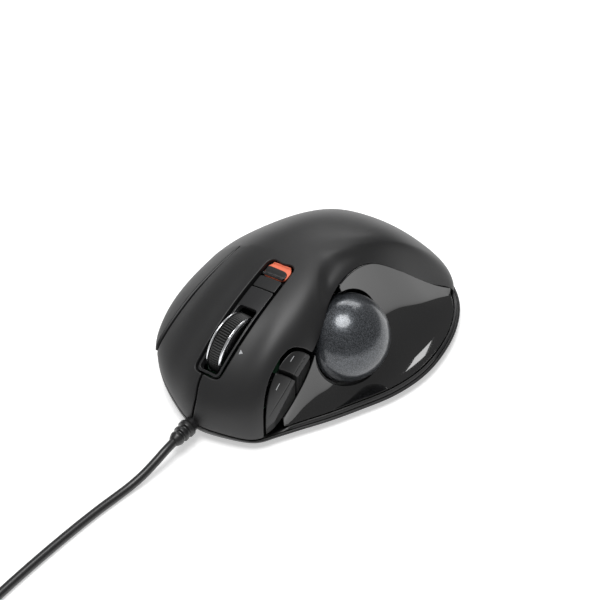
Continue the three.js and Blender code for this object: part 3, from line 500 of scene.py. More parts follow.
def shell(name, surface, loops, radius=0.35, depth=2.0, spacing=1.0, lower=None, fine=None):
    """Closed sheet on a surface, its edges rounded along the loops (outer first, then holes).

    lower gives the underside's points from the surface's points and normals.
    """
    if lower is None:
        def lower(points, normals):
            return points - normals * depth
    inner_loops, columns = [], []
    for flat, mask in loops:
        on = surface(flat)
        du, dv, normal = frame_at(surface, flat)
        sharp = mask > 0
        before = np.where((sharp & ~np.roll(sharp, 1))[:, None], on, np.roll(on, 1, axis=0))
        after = np.where((sharp & ~np.roll(sharp, -1))[:, None], on, np.roll(on, -1, axis=0))
        tangent = after - before
        tangent /= np.linalg.norm(tangent, axis=1)[:, None]
        inward = np.cross(normal, tangent)
        g11, g12, g22 = (du * du).sum(1), (du * dv).sum(1), (dv * dv).sum(1)
        b1, b2 = (du * inward).sum(1), (dv * inward).sum(1)
        det = g11 * g22 - g12 ** 2
        way = np.stack([(g22 * b1 - g12 * b2) / det, (g11 * b2 - g12 * b1) / det], axis=1)
        reach = clean_inset(flat, way, radius * mask)
        inner_loops.append(flat + way * reach[:, None])
        columns.append((flat, way, mask, reach, normal, inward, on))
    points2d, faces = triangulated(inner_loops, spacing, fine)
    top = surface(points2d)
    top_normal = frame_at(surface, points2d)[2]
    total = len(points2d)
    points = [top, lower(top, top_normal)]
    normals = [top_normal, -top_normal]
    quads, kinds = [], []
    tris = [tuple(f) for f in faces]
    under = [tuple(f + total) for f in faces[:, ::-1]]
    first, start = 2 * total, 0
    for flat, way, mask, reach, normal, inward, on in columns:
        n = len(flat)
        rows = [np.arange(start, start + n)]
        for k in range(1, ROUND_STEPS + 1):
            theta = k / ROUND_STEPS * np.pi / 2
            inset = reach * (1 - math.sin(theta))
            drop = reach * (1 - math.cos(theta))
            points.append(surface(flat + way * inset[:, None]) - normal * drop[:, None])
            blend = np.where(mask > 0, theta, 0)[:, None]
            normals.append(normal * np.cos(blend) - inward * np.sin(blend))
            rows.append(np.arange(first, first + n))
            first += n
        points.append(lower(on, normal))
        normals.append(-inward)
        rows.append(np.arange(first, first + n))
        first += n
        rows.append(np.arange(start + total, start + total + n))
        for high, low in zip(rows, rows[1:]):
            bottom = low is rows[-1]
            for i in range(n):
                j = (i + 1) % n
                quads.append((high[j], high[i], low[i], low[j]))
                kinds.append(1 if bottom else 0)
        start += n
    faces_all = tris + under + quads
    kinds = [0] * len(tris) + [1] * len(under) + kinds
    return welded(name, np.vstack(points), np.vstack(normals), faces_all, kinds)


def welded(name, points, normals, faces, kinds):
    """Mesh with given vertex normals on its faces of kind 0 and flat faces elsewhere."""
    bm = bmesh.new()
    layer = bm.verts.layers.float_vector.new("n")
    kind_layer = bm.faces.layers.int.new("k")
    verts = []
    for p, n in zip(points * MM, normals):
        vert = bm.verts.new(p)
        vert[layer] = Vector(n)
        verts.append(vert)
    for f, kind in zip(faces, kinds):
        face = bm.faces.new([verts[i] for i in f])
        face[kind_layer] = kind
    bmesh.ops.remove_doubles(bm, verts=bm.verts, dist=2e-7)
    bmesh.ops.dissolve_degenerate(bm, edges=bm.edges, dist=1e-7)
    bm.normal_update()
    mesh = bpy.data.meshes.new(name)
    bm.to_mesh(mesh)
    given = []
    for face in bm.faces:
        for loop in face.loops:
            given.append(face.normal.copy() if face[kind_layer] else loop.vert[layer].normalized())
    bm.free()
    mesh.polygons.foreach_set("use_smooth", [True] * len(mesh.polygons))
    mesh.normals_split_custom_set(given)
    for attribute in ("n", "k"):
        if attribute in mesh.attributes:
            mesh.attributes.remove(mesh.attributes[attribute])
    return mesh


def lathe(profile, sides=64, axis="z", at=(0, 0, 0)):
    """Turned body from (radius, height) points; the profile starts and ends on the axis or closes."""
    p = np.array(profile, float)
    closed = np.allclose(p[0], p[-1])
    if closed:
        p = p[:-1]
    angle = np.arange(sides) / sides * 2 * np.pi
    points, index = [], []
    for radius, height in p:
        if radius < 1e-6:
            index.append([len(points)] * sides)
            points.append((0, 0, height))
        else:
            index.append(list(range(len(points), len(points) + sides)))
            points += [(radius * math.cos(a), radius * math.sin(a), height) for a in angle]
    faces = []
    pairs = list(zip(index, index[1:])) + ([(index[-1], index[0])] if closed else [])
    for low, high in pairs:
        for i in range(sides):
            j = (i + 1) % sides
            corners = []
            for corner in (low[i], low[j], high[j], high[i]):
                if corner not in corners:
                    corners.append(corner)
            if len(corners) > 2:
                faces.append(corners)
    points = np.array(points)
    if axis == "x":
        points = points[:, [2, 0, 1]]
    elif axis == "y":
        points = points[:, [1, 2, 0]]
    return points + np.array(at, float), faces


def softened(profile, radius=0.25, steps=4):
    """Profile with its corners rounded."""
    p = np.array(profile, float)
    out = [p[0]]
    for a, b, c in zip(p, p[1:], p[2:]):
        la, lc = np.linalg.norm(a - b), np.linalg.norm(c - b)
        r = min(radius, la * 0.45, lc * 0.45)
        s, e = b + (a - b) / la * r, b + (c - b) / lc * r
        for t in np.linspace(0, 1, steps):
            out.append((1 - t) ** 2 * s + 2 * t * (1 - t) * b + t * t * e)
    out.append(p[-1])
    return np.array(out)


def ring_faces(rows, count, wrap=False):
    """Quads between rows of count points each; wrap joins the last row to the first as well."""
    faces = []
    for k in range(rows if wrap else rows - 1):
        low, high = k * count, (k + 1) % rows * count
        for i in range(count):
            j = (i + 1) % count
            faces.append([low + i, low + j, high + j, high + i])
    return faces


def solid_piece(name, points, faces, material, body, replaced=(), sharp=None):
    """Closed piece, its faces turned outward; edges above sharp degrees stay crisp."""
    mesh = bpy.data.meshes.new(name)
    mesh.from_pydata((np.asarray(points, float) * MM).tolist(), [], [list(map(int, f)) for f in faces])
    mesh.polygons.foreach_set("use_smooth", [True] * len(mesh.polygons))
    mesh.update()
    bm = bmesh.new()
    bm.from_mesh(mesh)
    bmesh.ops.recalc_face_normals(bm, faces=bm.faces)
    bm.to_mesh(mesh)
    bm.free()
    if sharp:
        mesh.set_sharp_from_angle(angle=math.radians(sharp))
    return object_of(name, mesh, material, body, replaced)


def shell_piece(name, surface, loops, material, body, slot, replaced=(), **shape):
    return object_of(name, shell(name, surface, loops, **shape), material, body, replaced)


def turned(name, profile, material, body, replaced=(), sides=64, axis="z", at=(0, 0, 0),
           round_by=0.25, steps=4):
    points, faces = lathe(softened(profile, round_by, steps), sides, axis, at)
    return solid_piece(name, points, faces, material, body, replaced)


# ---------- materials ----------
def node_of(tree, kind, **values):
    node = tree.nodes.new("ShaderNode" + kind)
    for name, value in values.items():
        node.inputs[name.replace("_", " ").title()].default_value = value
    return node


def ramp_of(tree, low, dark, high, light):
    ramp = node_of(tree, "ValToRGB")
    for element, at, colour in zip(ramp.color_ramp.elements, (low, high), (dark, light)):
        element.position = at
        element.color = (*colour, 1)
    return ramp


def joined(tree, source, output, target, name):
    tree.links.new(source.outputs[output], target.inputs[name])


def surface_material(name, colour, roughness, *, metallic=0.0, vary=0.12, rough_vary=0.05,
                     grain=9000.0, bump=0.02, blotch=60.0, coat=0.0, coat_rough=0.05, specular=0.5,
                     transmission=0.0):
    """Moulded or metal surface: grain as bump, slow changes of tone and roughness."""
    mat = bpy.data.materials.new(name)
    mat.use_nodes = True
    mat.diffuse_color = (*colour, 1)
    tree = mat.node_tree
    shader = tree.nodes["Principled BSDF"]
    place = node_of(tree, "TexCoord")
    slow = node_of(tree, "TexNoise", scale=blotch, detail=3)
    fine = node_of(tree, "TexNoise", scale=grain, detail=4)
    joined(tree, place, "Object", slow, "Vector")
    joined(tree, place, "Object", fine, "Vector")
    dark = [c * (1 - vary) for c in colour]
    light = [min(c * (1 + vary), 1) for c in colour]
    ramp = ramp_of(tree, 0.3, dark, 0.7, light)
    joined(tree, slow, "Fac", ramp, "Fac")
    joined(tree, ramp, "Color", shader, "Base Color")
    spread = node_of(tree, "MapRange", to_min=max(roughness - rough_vary, 0.01),
                     to_max=min(roughness + rough_vary, 1))
    joined(tree, fine, "Fac", spread, "Value")
    joined(tree, spread, "Result", shader, "Roughness")
    relief = node_of(tree, "Bump", strength=bump, distance=0.02 * MM)
    joined(tree, fine, "Fac", relief, "Height")
    joined(tree, relief, "Normal", shader, "Normal")
    for socket, value in (("Metallic", metallic), ("Coat Weight", coat), ("Coat Roughness", coat_rough),
                          ("Specular IOR Level", specular), ("Transmission Weight", transmission)):
        shader.inputs[socket].default_value = value
    return mat


SOFT_TOUCH = surface_material("soft_touch", (0.0115, 0.0115, 0.012), 0.46, bump=0.35, grain=6000,
                              rough_vary=0.08)
KEY_PLASTIC = surface_material("key_plastic", (0.012, 0.012, 0.0125), 0.36, bump=0.3, grain=7000)
PIANO_BLACK = surface_material("piano_black", (0.0035, 0.0035, 0.0037), 0.05, grain=200,
                               rough_vary=0.015, coat=1.0, coat_rough=0.015)
TRAY_PLASTIC = surface_material("tray_plastic", (0.012, 0.012, 0.0125), 0.38, bump=0.5, grain=5000)
STRIP_PLASTIC = surface_material("strip_plastic", (0.016, 0.016, 0.017), 0.33, bump=0.25, grain=6000)
ORANGE = surface_material("orange_marker", (0.85, 0.19, 0.10), 0.42, vary=0.04, bump=0.2)
CUP_PLASTIC = surface_material("cup_plastic", (0.008, 0.008, 0.0085), 0.5, bump=0.3)
CERAMIC = surface_material("bead_ceramic", (0.78, 0.76, 0.71), 0.1, vary=0.03, coat=0.5)
CHROME = surface_material("ring_chrome", (0.86, 0.87, 0.89), 0.16, metallic=1, vary=0.02, grain=3000,
                          rough_vary=0.03)
TYRE_RUBBER = surface_material("tyre_rubber", (0.012, 0.012, 0.012), 0.55, bump=0.6, grain=5000)
SWITCH_PLASTIC = surface_material("switch_plastic", (0.014, 0.014, 0.015), 0.4, bump=0.3)
BOARD_GREEN = surface_material("board_green", (0.014, 0.075, 0.034), 0.35, bump=0.4, grain=2500,
                               vary=0.25, blotch=400)
BLACK_BOARD_AND_SHADE = surface_material("black_board_and_shade", (0.008, 0.009, 0.009), 0.4, bump=0.4, grain=2500,
                               vary=0.2, blotch=400)
# Black of the chips, also used for the thin black marks that are painted shade in the plug's latch holes
# and the screws' cross recesses.
CHIP_AND_SHADE_BLACK = surface_material("chip_black", (0.012, 0.012, 0.012), 0.5, bump=0.4)
LENS_CLEAR = surface_material("lens_clear", (0.85, 0.88, 0.9), 0.04, vary=0.02, transmission=0.9,
                              rough_vary=0.01)
STEEL = surface_material("screw_steel", (0.50, 0.51, 0.52), 0.3, metallic=1, bump=0.3, grain=4000)
PLUG_STEEL = surface_material("plug_steel", (0.62, 0.63, 0.64), 0.24, metallic=1, bump=0.25, grain=4000)
PAD_PLASTIC = surface_material("foot_pad", (0.016, 0.016, 0.017), 0.55, bump=0.4)
CABLE_JACKET = surface_material("cable_jacket", (0.010, 0.010, 0.0105), 0.36, bump=0.3, grain=3500,
                                coat=0.15, coat_rough=0.3)
TIE_PLASTIC = surface_material("cable_tie", (0.012, 0.012, 0.0125), 0.5, bump=0.5)
INSERT_WHITE = surface_material("plug_insert", (0.75, 0.75, 0.72), 0.4, vary=0.03)
GOLD = surface_material("contact_gold", (0.85, 0.55, 0.22), 0.2, metallic=1, vary=0.05)
PRINT = surface_material("print_white", (0.42, 0.43, 0.44), 0.6, vary=0.04)


def pearl_material():
    """Dark resin with fine bright flakes under a clear gloss."""
    mat = surface_material("ball_resin", (0.040, 0.044, 0.050), 0.32, vary=0.3, blotch=90, bump=0.1,
                           grain=2500, coat=0.7, coat_rough=0.13, specular=0.6)
    tree = mat.node_tree
    shader = tree.nodes["Principled BSDF"]
    cells = node_of(tree, "TexVoronoi", scale=5200)
    joined(tree, tree.nodes["Texture Coordinate"], "Object", cells, "Vector")
    tone = node_of(tree, "SeparateColor")
    joined(tree, cells, "Color", tone, "Color")
    ramp = ramp_of(tree, 0.35, (0.022, 0.025, 0.029), 0.98, (0.13, 0.14, 0.155))
    joined(tree, tone, "Red", ramp, "Fac")
    joined(tree, ramp, "Color", shader, "Base Color")
    shine = node_of(tree, "MapRange", to_min=0.5, to_max=0.8)
    joined(tree, tone, "Green", shine, "Value")
    joined(tree, shine, "Result", shader, "Metallic")
    return mat


BALL_RESIN = pearl_material()

CAD_MATERIALS = {
    "ball_cup": CUP_PLASTIC, "inner_lead": CABLE_JACKET, "sensor_lens": LENS_CLEAR,
    "sensor_chip": CHIP_AND_SHADE_BLACK, "controller_chip": CHIP_AND_SHADE_BLACK, "main_board": BOARD_GREEN,
    # key boards: black solder mask, and also painted shade, chosen so that the gaps round the keys show
    # a dark well
    "sensor_board": BLACK_BOARD_AND_SHADE, "key_board": BLACK_BOARD_AND_SHADE, "side_key_board": BLACK_BOARD_AND_SHADE,
    "board_screw_1": STEEL, "board_screw_2": STEEL,
}
CAD_MATERIALS.update({f"ball_bearing_{i}": CERAMIC for i in (1, 2, 3)})
for node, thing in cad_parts.items():
    thing.data.materials.clear()
    thing.data.materials.append(CAD_MATERIALS.get(node, SWITCH_PLASTIC))

# ---------- cable ----------
CABLE_RADIUS = 1.7
CABLE_START = [(9, 68, 7), (9, 72.85, 7)]
CABLE_ROUTE = [
    (9.1, 77, 6.7), (9.5, 82, 5.4), (10.4, 88, 3.5), (11.6, 94, 2.2), (13, 101, 1.8), (14.3, 108, 1.72),
    (15.6, 117, 1.72), (16.8, 127, 1.72), (17.8, 137, 1.72), (18.6, 147, 1.72), (19.1, 157, 1.85),
    (19.2, 168.3, 2.2),
]
TAIL_ROUTE = [(78.8, 168.3, 5.1), (78.8, 165, 4.7), (78.8, 161.5, 4.4), (78.8, 157.2, 4.3)]
COIL_AT = (49, 184)
COIL_OUTER, COIL_INNER = 29.8, 12.3
COIL_LAYERS = (2.55, 6.0)
COIL_TURNS = 5


def coil_points(per_turn=72):
    """Clockwise spiral in on the lower layer and out again on the upper one."""
    low, high = COIL_LAYERS
    total = 2 * COIL_TURNS + 0.5
    turns = np.arange(0, total + 1e-9, 1 / per_turn)
    wound = np.clip(turns / COIL_TURNS, 0, 1)
    inner_share = wound - np.clip((turns - COIL_TURNS - 0.5) / COIL_TURNS, 0, 1)
    radius = COIL_OUTER + (COIL_INNER - COIL_OUTER) * inner_share
    z = low + (high - low) * smoothstep(turns, COIL_TURNS, COIL_TURNS + 0.5)
    angle = np.pi - 2 * np.pi * turns
    return np.stack([COIL_AT[0] + radius * np.cos(angle), COIL_AT[1] + radius * np.sin(angle), z],
                    axis=1)


def cable_line():
    coil = coil_points()
    lead = smooth_curve(CABLE_START + CABLE_ROUTE + [(19.2, 176, 2.45)] + [tuple(coil[0])], steps=6)
    tail = smooth_curve([tuple(coil[-1]), (78.8, 176, 5.7)] + TAIL_ROUTE, steps=5)
    return np.vstack([lead[:-1], coil, tail[1:]])


def cable():
    data = bpy.data.curves.new("cable", "CURVE")
    data.dimensions = "3D"
    line = cable_line() * MM
    spline = data.splines.new("POLY")
    spline.points.add(len(line) - 1)
    for point, at in zip(spline.points, line):
        point.co = (*at, 1)
    spline.use_smooth = True
    data.bevel_depth = CABLE_RADIUS * MM
    data.bevel_resolution = 5
    data.use_fill_caps = True
    data.materials.append(CABLE_JACKET)
    thing = placed("cable", data)
    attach(thing, "base")
    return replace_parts(thing, "cable_free", "cable_coil", "cable_tail")


def cable_boot():
    """Moulded strain relief: a sleeve in the nose, a collar and ribs that taper to the cable."""
    profile = [(0, 57.5), (2.9, 57.5), (2.9, 63.4), (3.5, 63.8), (3.5, 65.6), (2.55, 66.0),
               (2.55, 66.9), (3.2, 67.1), (3.2, 68.3), (2.35, 68.6), (2.35, 69.4), (2.85, 69.6),
               (2.85, 70.6), (2.2, 72.1), (1.9, 72.5), (0, 72.5)]
    return turned("cable_boot", profile, CABLE_JACKET, "base", ["cable_gland"], 48,
                  "y", (9, 0, 7))


def sheet_prism(name, outline, low, high, axes, material, replaced=(), round_by=0.4, rings=3):
    """Closed prism from a convex outline with its two end faces rounded over."""
    outline = np.array(outline, float)
    centre = outline.mean(axis=0)
    layers = []
    for k in range(rings + 1):
        theta = k / rings * np.pi / 2
        layers.append((low + round_by * (1 - math.sin(theta)), round_by * (1 - math.cos(theta))))
    layers.reverse()
    layers += [(high - (z - low), inset) for z, inset in reversed(layers)]
    extent = np.ptp(outline, axis=0).max() / 2
    points = []
    for z, inset in layers:
        ring = centre + (outline - centre) * (1 - inset / extent)
        points += [(a, b, z) for a, b in ring]
    n, count = len(outline), len(layers)
    faces = [list(range(n))[::-1], [(count - 1) * n + i for i in range(n)]]
    return solid_piece(name, np.array(points)[:, axes], faces + ring_faces(count, n), material, "base",
                       replaced, 50)


FLAT, ALONG = [0, 1, 2], [0, 2, 1]  # a prism that stands on its outline, or runs along Y


def band(name, outer, inner, low, high, place, material, replaced):
    """Thin tube between two outlines, from low to high along its axis."""
    rows = [(outer, low), (outer, high), (inner, high), (inner, low)]
    points = [place(a, b, at) for loop, at in rows for a, b in loop]
    return solid_piece(name, points, ring_faces(4, len(outer), True), material, "base",
                       replaced, 40)


PLUG_X, PLUG_Z = 78.8, 4.3
PLUG_HALF_WIDTH, PLUG_HALF_HEIGHT, PLUG_WALL = 6, 2.25, 0.3


def plug_section(half_width, half_height, corner):
    return rounded_box(PLUG_X - half_width, PLUG_X + half_width, PLUG_Z - half_height,
                       PLUG_Z + half_height, corner)


def plug():
    """USB plug: grip with a boot and ridges, folded steel shell, white tongue with four contacts."""
    boot = [(0, 150.2), (3.4, 150.2), (3.1, 153), (2.5, 155.6), (2.0, 157.6), (0, 157.6)]
    made = [turned("plug_boot", boot, CABLE_JACKET, "base", (), 32, "y",
                   (PLUG_X, 0, PLUG_Z))]
    made.append(sheet_prism("plug_grip", plug_section(7.8, 4.1, 1.8), 126.6, 150.6, ALONG, CABLE_JACKET,
                            ["usb_plug_body"], 1.0, 4))
    for i in range(4):
        ridge = rounded_box(PLUG_X - 5, PLUG_X + 5, 139.6 + 2.1 * i, 140.5 + 2.1 * i, 0.4)
        made.append(sheet_prism(f"plug_ridge_{i + 1}", ridge, PLUG_Z + 3.7, PLUG_Z + 4.4, FLAT,
                                CABLE_JACKET, (), 0.2, 2))
    made += [plug_shell(), plug_tongue()]
    for i in range(4):
        x = PLUG_X - 3.5 + 7 / 3 * i
        bar = rounded_box(x - 0.5, x + 0.5, 115.6, 125, 0.2)
        made.append(sheet_prism(f"plug_contact_{i + 1}", bar, PLUG_Z + 0.1, PLUG_Z + 0.3, FLAT, GOLD,
                                (), 0.05, 2))
    return made


def plug_shell():
    """Thin steel tube of the plug; its two latch holes in the upper side are not cut but drawn as thin
    black marks, painted shade for the dark inside of the holes.
    """
    outer = plug_section(PLUG_HALF_WIDTH, PLUG_HALF_HEIGHT, 0.5)
    inner = plug_section(PLUG_HALF_WIDTH - PLUG_WALL, PLUG_HALF_HEIGHT - PLUG_WALL, 0.3)
    thing = band("plug_shell", outer, inner, 114.6, 126.3, lambda x, z, y: (x, y, z), PLUG_STEEL,
                 ["usb_plug_shell"])
    upper_side = PLUG_Z + PLUG_HALF_HEIGHT
    for i, x in enumerate((PLUG_X - 2.9, PLUG_X + 2.9)):
        # painted shade: each latch hole is a thin black sheet on the shell, standing for the dark inside
        # of the hole
        hole = rounded_box(x - 1.1, x + 1.1, 118.4, 120.7, 0.3)
        mark = sheet_prism(f"plug_latch_hole_shade_{i + 1}", hole, upper_side - 0.1, upper_side + 0.02, FLAT,
                           CHIP_AND_SHADE_BLACK, (), 0.01, 1)
        mark.parent = thing  # so that the cord counts the mark among its pieces
        mark.matrix_parent_inverse = thing.matrix_world.inverted()
    return thing


def plug_tongue():
    outline = rounded_box(PLUG_X - 5.4, PLUG_X + 5.4, 115.0, 125.5, 0.5)
    return sheet_prism("plug_tongue", outline, PLUG_Z - 1.65, PLUG_Z + 0.15, FLAT, INSERT_WHITE,
                       ["usb_plug_insert"], 0.15, 2)


def cable_strap():
    """Hook and loop strap round the coil's section, at its far side."""
    def section(extra, corner):
        return rounded_box(COIL_AT[1] + 9.9 - extra, COIL_AT[1] + 31.6 + extra, 0.85 - extra,
                           7.85 + extra, corner, 10)
    return band("cable_strap", section(0.75, 2.0), section(0.35, 1.7), 47, 51,
                lambda y, z, x: (x, y, z), TIE_PLASTIC, ["cable_tie"])


cord = cable()
boot = cable_boot()
on_cord = [boot, cable_strap(), *plug()]

# ---------- covers ----------
side_line = smooth_curve(SIDE_LINE)
key_line = smooth_curve(KEY_LINE)
nose_line = smooth_curve(NOSE_LINE)


def upto_rim(curve):
    """Disc coordinates of a plan curve up to the point where it leaves the cover."""
    reach = hub_distance(curve[:, 0], curve[:, 1]) / hump_radius(polar_angle(curve[:, 0], curve[:, 1]))
    last = int(np.argmax(reach >= 1))
    share = (1 - reach[last - 1]) / (reach[last] - reach[last - 1])
    end = curve[last - 1] + share * (curve[last] - curve[last - 1])
    angle = polar_angle(*end)
    flat = cover_flat(curve[:last, 0], curve[:last, 1])
    return np.vstack([flat, [DISC * np.cos(angle), DISC * np.sin(angle)]]), float(angle)


def rim(start, end):
    """Cover's lower edge between two angles, counter-clockwise."""
    angle = np.arange(start, end, 0.01)[1:]
    return DISC * np.stack([np.cos(angle), np.sin(angle)], axis=1)


def rim_angle_at(y, low, high):
    angle = np.linspace(low, high, 4000)
    return float(np.interp(y, HUB[1] + hump_radius(angle) * np.sin(angle), angle))


def crease(start, end):
    """Disc coordinates of the crease between two angles."""
    angle = np.linspace(start, end, 400)
    radius = crease_radius(angle)
    return cover_flat(HUB[0] + radius * np.cos(angle), HUB[1] + radius * np.sin(angle))


def crease_angle_at(y):
    angle = np.linspace(math.radians(116), math.radians(226), 8000)
    height = HUB[1] + crease_radius(angle) * np.sin(angle)
    return float(np.interp(-y, -height, angle))


def level(x0, x1, y):
    """Plan line of constant y as disc coordinates."""
    x = np.linspace(x0, x1, 300)
    return cover_flat(x, np.full(300, float(y)))


def x_on(curve, y):
    return float(np.interp(y, curve[:, 1], curve[:, 0]))


left, right, rear, front, corner = RECESS
recess = rounded_box(left, right, rear, front, corner)
recess_corner = np.split(recess, 4)  # rear right, front right, front left, rear left
angle_seam = crease_angle_at(HINGE_Y)
crease_end = float(crease_angles.max())
x_seam = float(HUB[0] + crease_radius(angle_seam) * np.cos(angle_seam))
side_at_hinge = x_on(side_line, HINGE_Y)
side_at_end = x_on(side_line, RAIL_END_Y)
rail_angle = rim_angle_at(RAIL_END_Y, -0.3, 0.6)
rail_x = float(HUB[0] + hump_radius(rail_angle) * np.cos(rail_angle))


def plan(points):
    points = np.asarray(points, float)
    return cover_flat(points[:, 0], points[:, 1])


def palm_loop():
    half = SLIT / 2
    turn = np.linspace(0, -np.pi, 9)
    slit_end = np.stack([x_on(side_line, 0.4) + half * np.cos(turn), 0.4 + half * np.sin(turn)], axis=1)
    side = side_line[(side_line[:, 1] > RAIL_END_Y) & (side_line[:, 1] < HINGE_Y)] - [half, 0]
    slit = np.vstack([[(side_at_end + half, RAIL_END_Y)], slit_end, [(side_at_end - half, RAIL_END_Y)],
                      side, [(side_at_hinge - half, HINGE_Y)]])
    behind = np.vstack([[(right, HINGE_Y)], recess_corner[0][::-1], recess_corner[3][::-1],
                        [(left, HINGE_Y)]])
    rail_point = DISC * np.array([[math.cos(rail_angle), math.sin(rail_angle)]])
    border = np.vstack([crease(angle_seam, crease_end), rim(crease_end, 2 * np.pi + rail_angle),
                        rail_point])
    return loop_of(
        edge(border, 0.7),
        joint_line(level(rail_x, side_at_end + half, RAIL_END_Y)),
        edge(plan(slit), 0.2, 0.05),
        joint_line(level(side_at_hinge - half, right, HINGE_Y)),
        edge(plan(behind), 0.4, 0.1),
        joint_line(level(left, x_seam, HINGE_Y)))


def past_crease(points):
    """How far plan points lie outside the crease."""
    x, y = points[:, 0], points[:, 1]
    return hub_distance(x, y) - crease_radius(polar_angle(x, y))


def key_crossing(curve):
    """Part of a curve that lies inside the crease, from the crease on."""
    gap = past_crease(curve)
    first = int(np.argmax(gap < 0))
    share = gap[first - 1] / (gap[first - 1] - gap[first])
    start = curve[first - 1] + share * (curve[first] - curve[first - 1])
    return np.vstack([start, curve[first:]])


def left_plate_loop():
    half = SLIT / 2
    nose = nose_line - [half, 0]
    nose = nose[nose[:, 1] > front]
    nose_flat, nose_angle = upto_rim(np.vstack([[(x_on(nose_line, front) - half, front)], nose]))
    inner = key_crossing(key_line + [half, 0])
    key_flat, key_angle = upto_rim(inner)
    start_angle = float(polar_angle(*inner[0]))
    walk = np.vstack([plan([(left, HINGE_Y)]), plan(recess_corner[2][::-1]), nose_flat,
                      rim(nose_angle, key_angle), key_flat[::-1], crease(start_angle, angle_seam)])
    return loop_of(joint_line(level(x_seam, left, HINGE_Y)), edge(walk, 0.5))


def right_plate_loop():
    half = SLIT / 2
    side = side_line[side_line[:, 1] > HINGE_Y] - [half, 0]
    side_flat, side_angle = upto_rim(np.vstack([[(side_at_hinge - half, HINGE_Y)], side]))
    nose = nose_line + [half, 0]
    nose = nose[nose[:, 1] > front]
    nose_flat, nose_angle = upto_rim(np.vstack([[(x_on(nose_line, front) + half, front)], nose]))
    walk = np.vstack([side_flat, rim(side_angle, nose_angle), nose_flat[::-1],
                      plan(recess_corner[1][::-1]), plan([(right, HINGE_Y)])])
    return loop_of(joint_line(level(right, side_at_hinge - half, HINGE_Y)), edge(walk, 0.5))


def side_button_loop():
    half = SLIT / 2
    side = side_line[side_line[:, 1] > RAIL_END_Y] + [half, 0]
    side_flat, side_angle = upto_rim(np.vstack([[(side_at_end + half, RAIL_END_Y)], side]))
    walk = np.vstack([[DISC * np.array([math.cos(rail_angle), math.sin(rail_angle)])],
                      rim(rail_angle, side_angle), side_flat[::-1]])
    return loop_of(joint_line(level(side_at_end + half, rail_x, RAIL_END_Y)), edge(walk, 0.5))


COVER_DEPTH = 2.0


def near_tail(flat):
    """Rear left of the cover, where the crease runs down steeply to its lower edge."""
    degree = np.degrees(np.mod(np.arctan2(flat[:, 1], flat[:, 0]), 2 * np.pi))
    return (degree > 196) & (degree < 246) & (np.hypot(flat[:, 0], flat[:, 1]) > 0.25 * DISC)


def cover_lower(points, normals):
    """Inside of the covers: thinner at the rear left, where the cover bends sharply."""
    degree = np.degrees(polar_angle(points[:, 0], points[:, 1]))
    tail = smoothstep(degree, 196, 212) * (1 - smoothstep(degree, 250, 266))
    return points - normals * (COVER_DEPTH * (1 - 0.8 * tail))[:, None]


def side_button_point(flat):
    """The side button stands a little proud of the cover towards its front tip."""
    on = cover_point(flat)
    return on + frame_at(cover_point, flat)[2] * (0.55 * smoothstep(on[:, 1], 4, 26))[:, None]


def cover_piece(name, loop, body, node, hinge=None, surface=cover_point, radius=0.4):
    mesh = shell(name, surface, [loop], radius=radius, lower=cover_lower, fine=near_tail)
    thing = object_of(name, mesh, SOFT_TOUCH, None if hinge else body, [node])
    if hinge:
        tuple(hinge[0])
        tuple(hinge[1])
        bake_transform(thing)
    return thing


cover_piece("palm_skin", palm_loop(), "base", "palm_cover")
plate_hinge = ((0, 0.0071, 0), (0, 0.011, 0))
cover_piece("left_click_skin", left_plate_loop(), "left_click", "left_click_plate", plate_hinge)
cover_piece("right_click_skin", right_plate_loop(), "right_click", "right_click_plate", plate_hinge)
cover_piece("side_function_skin", side_button_loop(), "side_function", "side_function_button",
            ((0, 0.0011, 0), (0, 0.006, 0)), side_button_point, 0.8)

# ---------- thumb panel ----------


def ball_notch():
    """Where a sphere a little larger than the ball meets the thumb panel, from rear to front."""
    clear = BALL_RADIUS + 1.3
    turn = math.radians(45) - np.linspace(0, 2 * np.pi, 720)
    reach = np.arange(0, 22, 0.01)
    x = BALL[0] + np.outer(np.cos(turn), reach)
    y = BALL[1] + np.outer(np.sin(turn), reach)
    height = wing_point(np.stack([x.ravel(), y.ravel()], axis=1))[:, 2].reshape(x.shape)
    at = reach[np.argmax(reach[None, :] ** 2 + (height - BALL[2]) ** 2 > clear ** 2, axis=1)]
    x, y = BALL[0] + at * np.cos(turn), BALL[1] + at * np.sin(turn)
    # the panel's tips end where they would be less than a millimetre wide
    on_panel = hub_distance(x, y) > crease_radius(polar_angle(x, y)) + WING_CLEAR + 0.95
    return np.stack([x[on_panel], y[on_panel]], axis=1)


def ring_part(radius, start, end, count=300):
    angle = np.linspace(start, end, count)
    reach = radius(angle)
    return np.stack([HUB[0] + reach * np.cos(angle), HUB[1] + reach * np.sin(angle)], axis=1)


def panel_outline():
    """Plan outline of the panel, with the notch that the ball fills."""
    first, last = math.radians(WING_START + 0.3), math.radians(WING_END + 0.1)
    notch = ball_notch()

    def inner(angle):
        return crease_radius(angle) + WING_CLEAR

    outer = ring_part(lambda a: foot_radius(a) - WING_INSET, first, last)
    rear = ring_part(inner, last, float(polar_angle(*notch[0])))[:-1]
    front = ring_part(inner, float(polar_angle(*notch[-1])), first, 80)[1:]
    return whole_edge(np.vstack([outer, rear, notch, front]), 0.4, 0.25)


shell_piece("thumb_panel_skin", wing_point, [panel_outline()], PIANO_BLACK, "base", "piano_black",
            ["thumb_panel"], radius=0.3, depth=1.4, spacing=0.6)

# ---------- side keys ----------
KEY_DEPTH = 0.25
KEY_GAP = 0.62
KEY_DIVIDE = [(-9, 41.6), (-22, 29.4)]


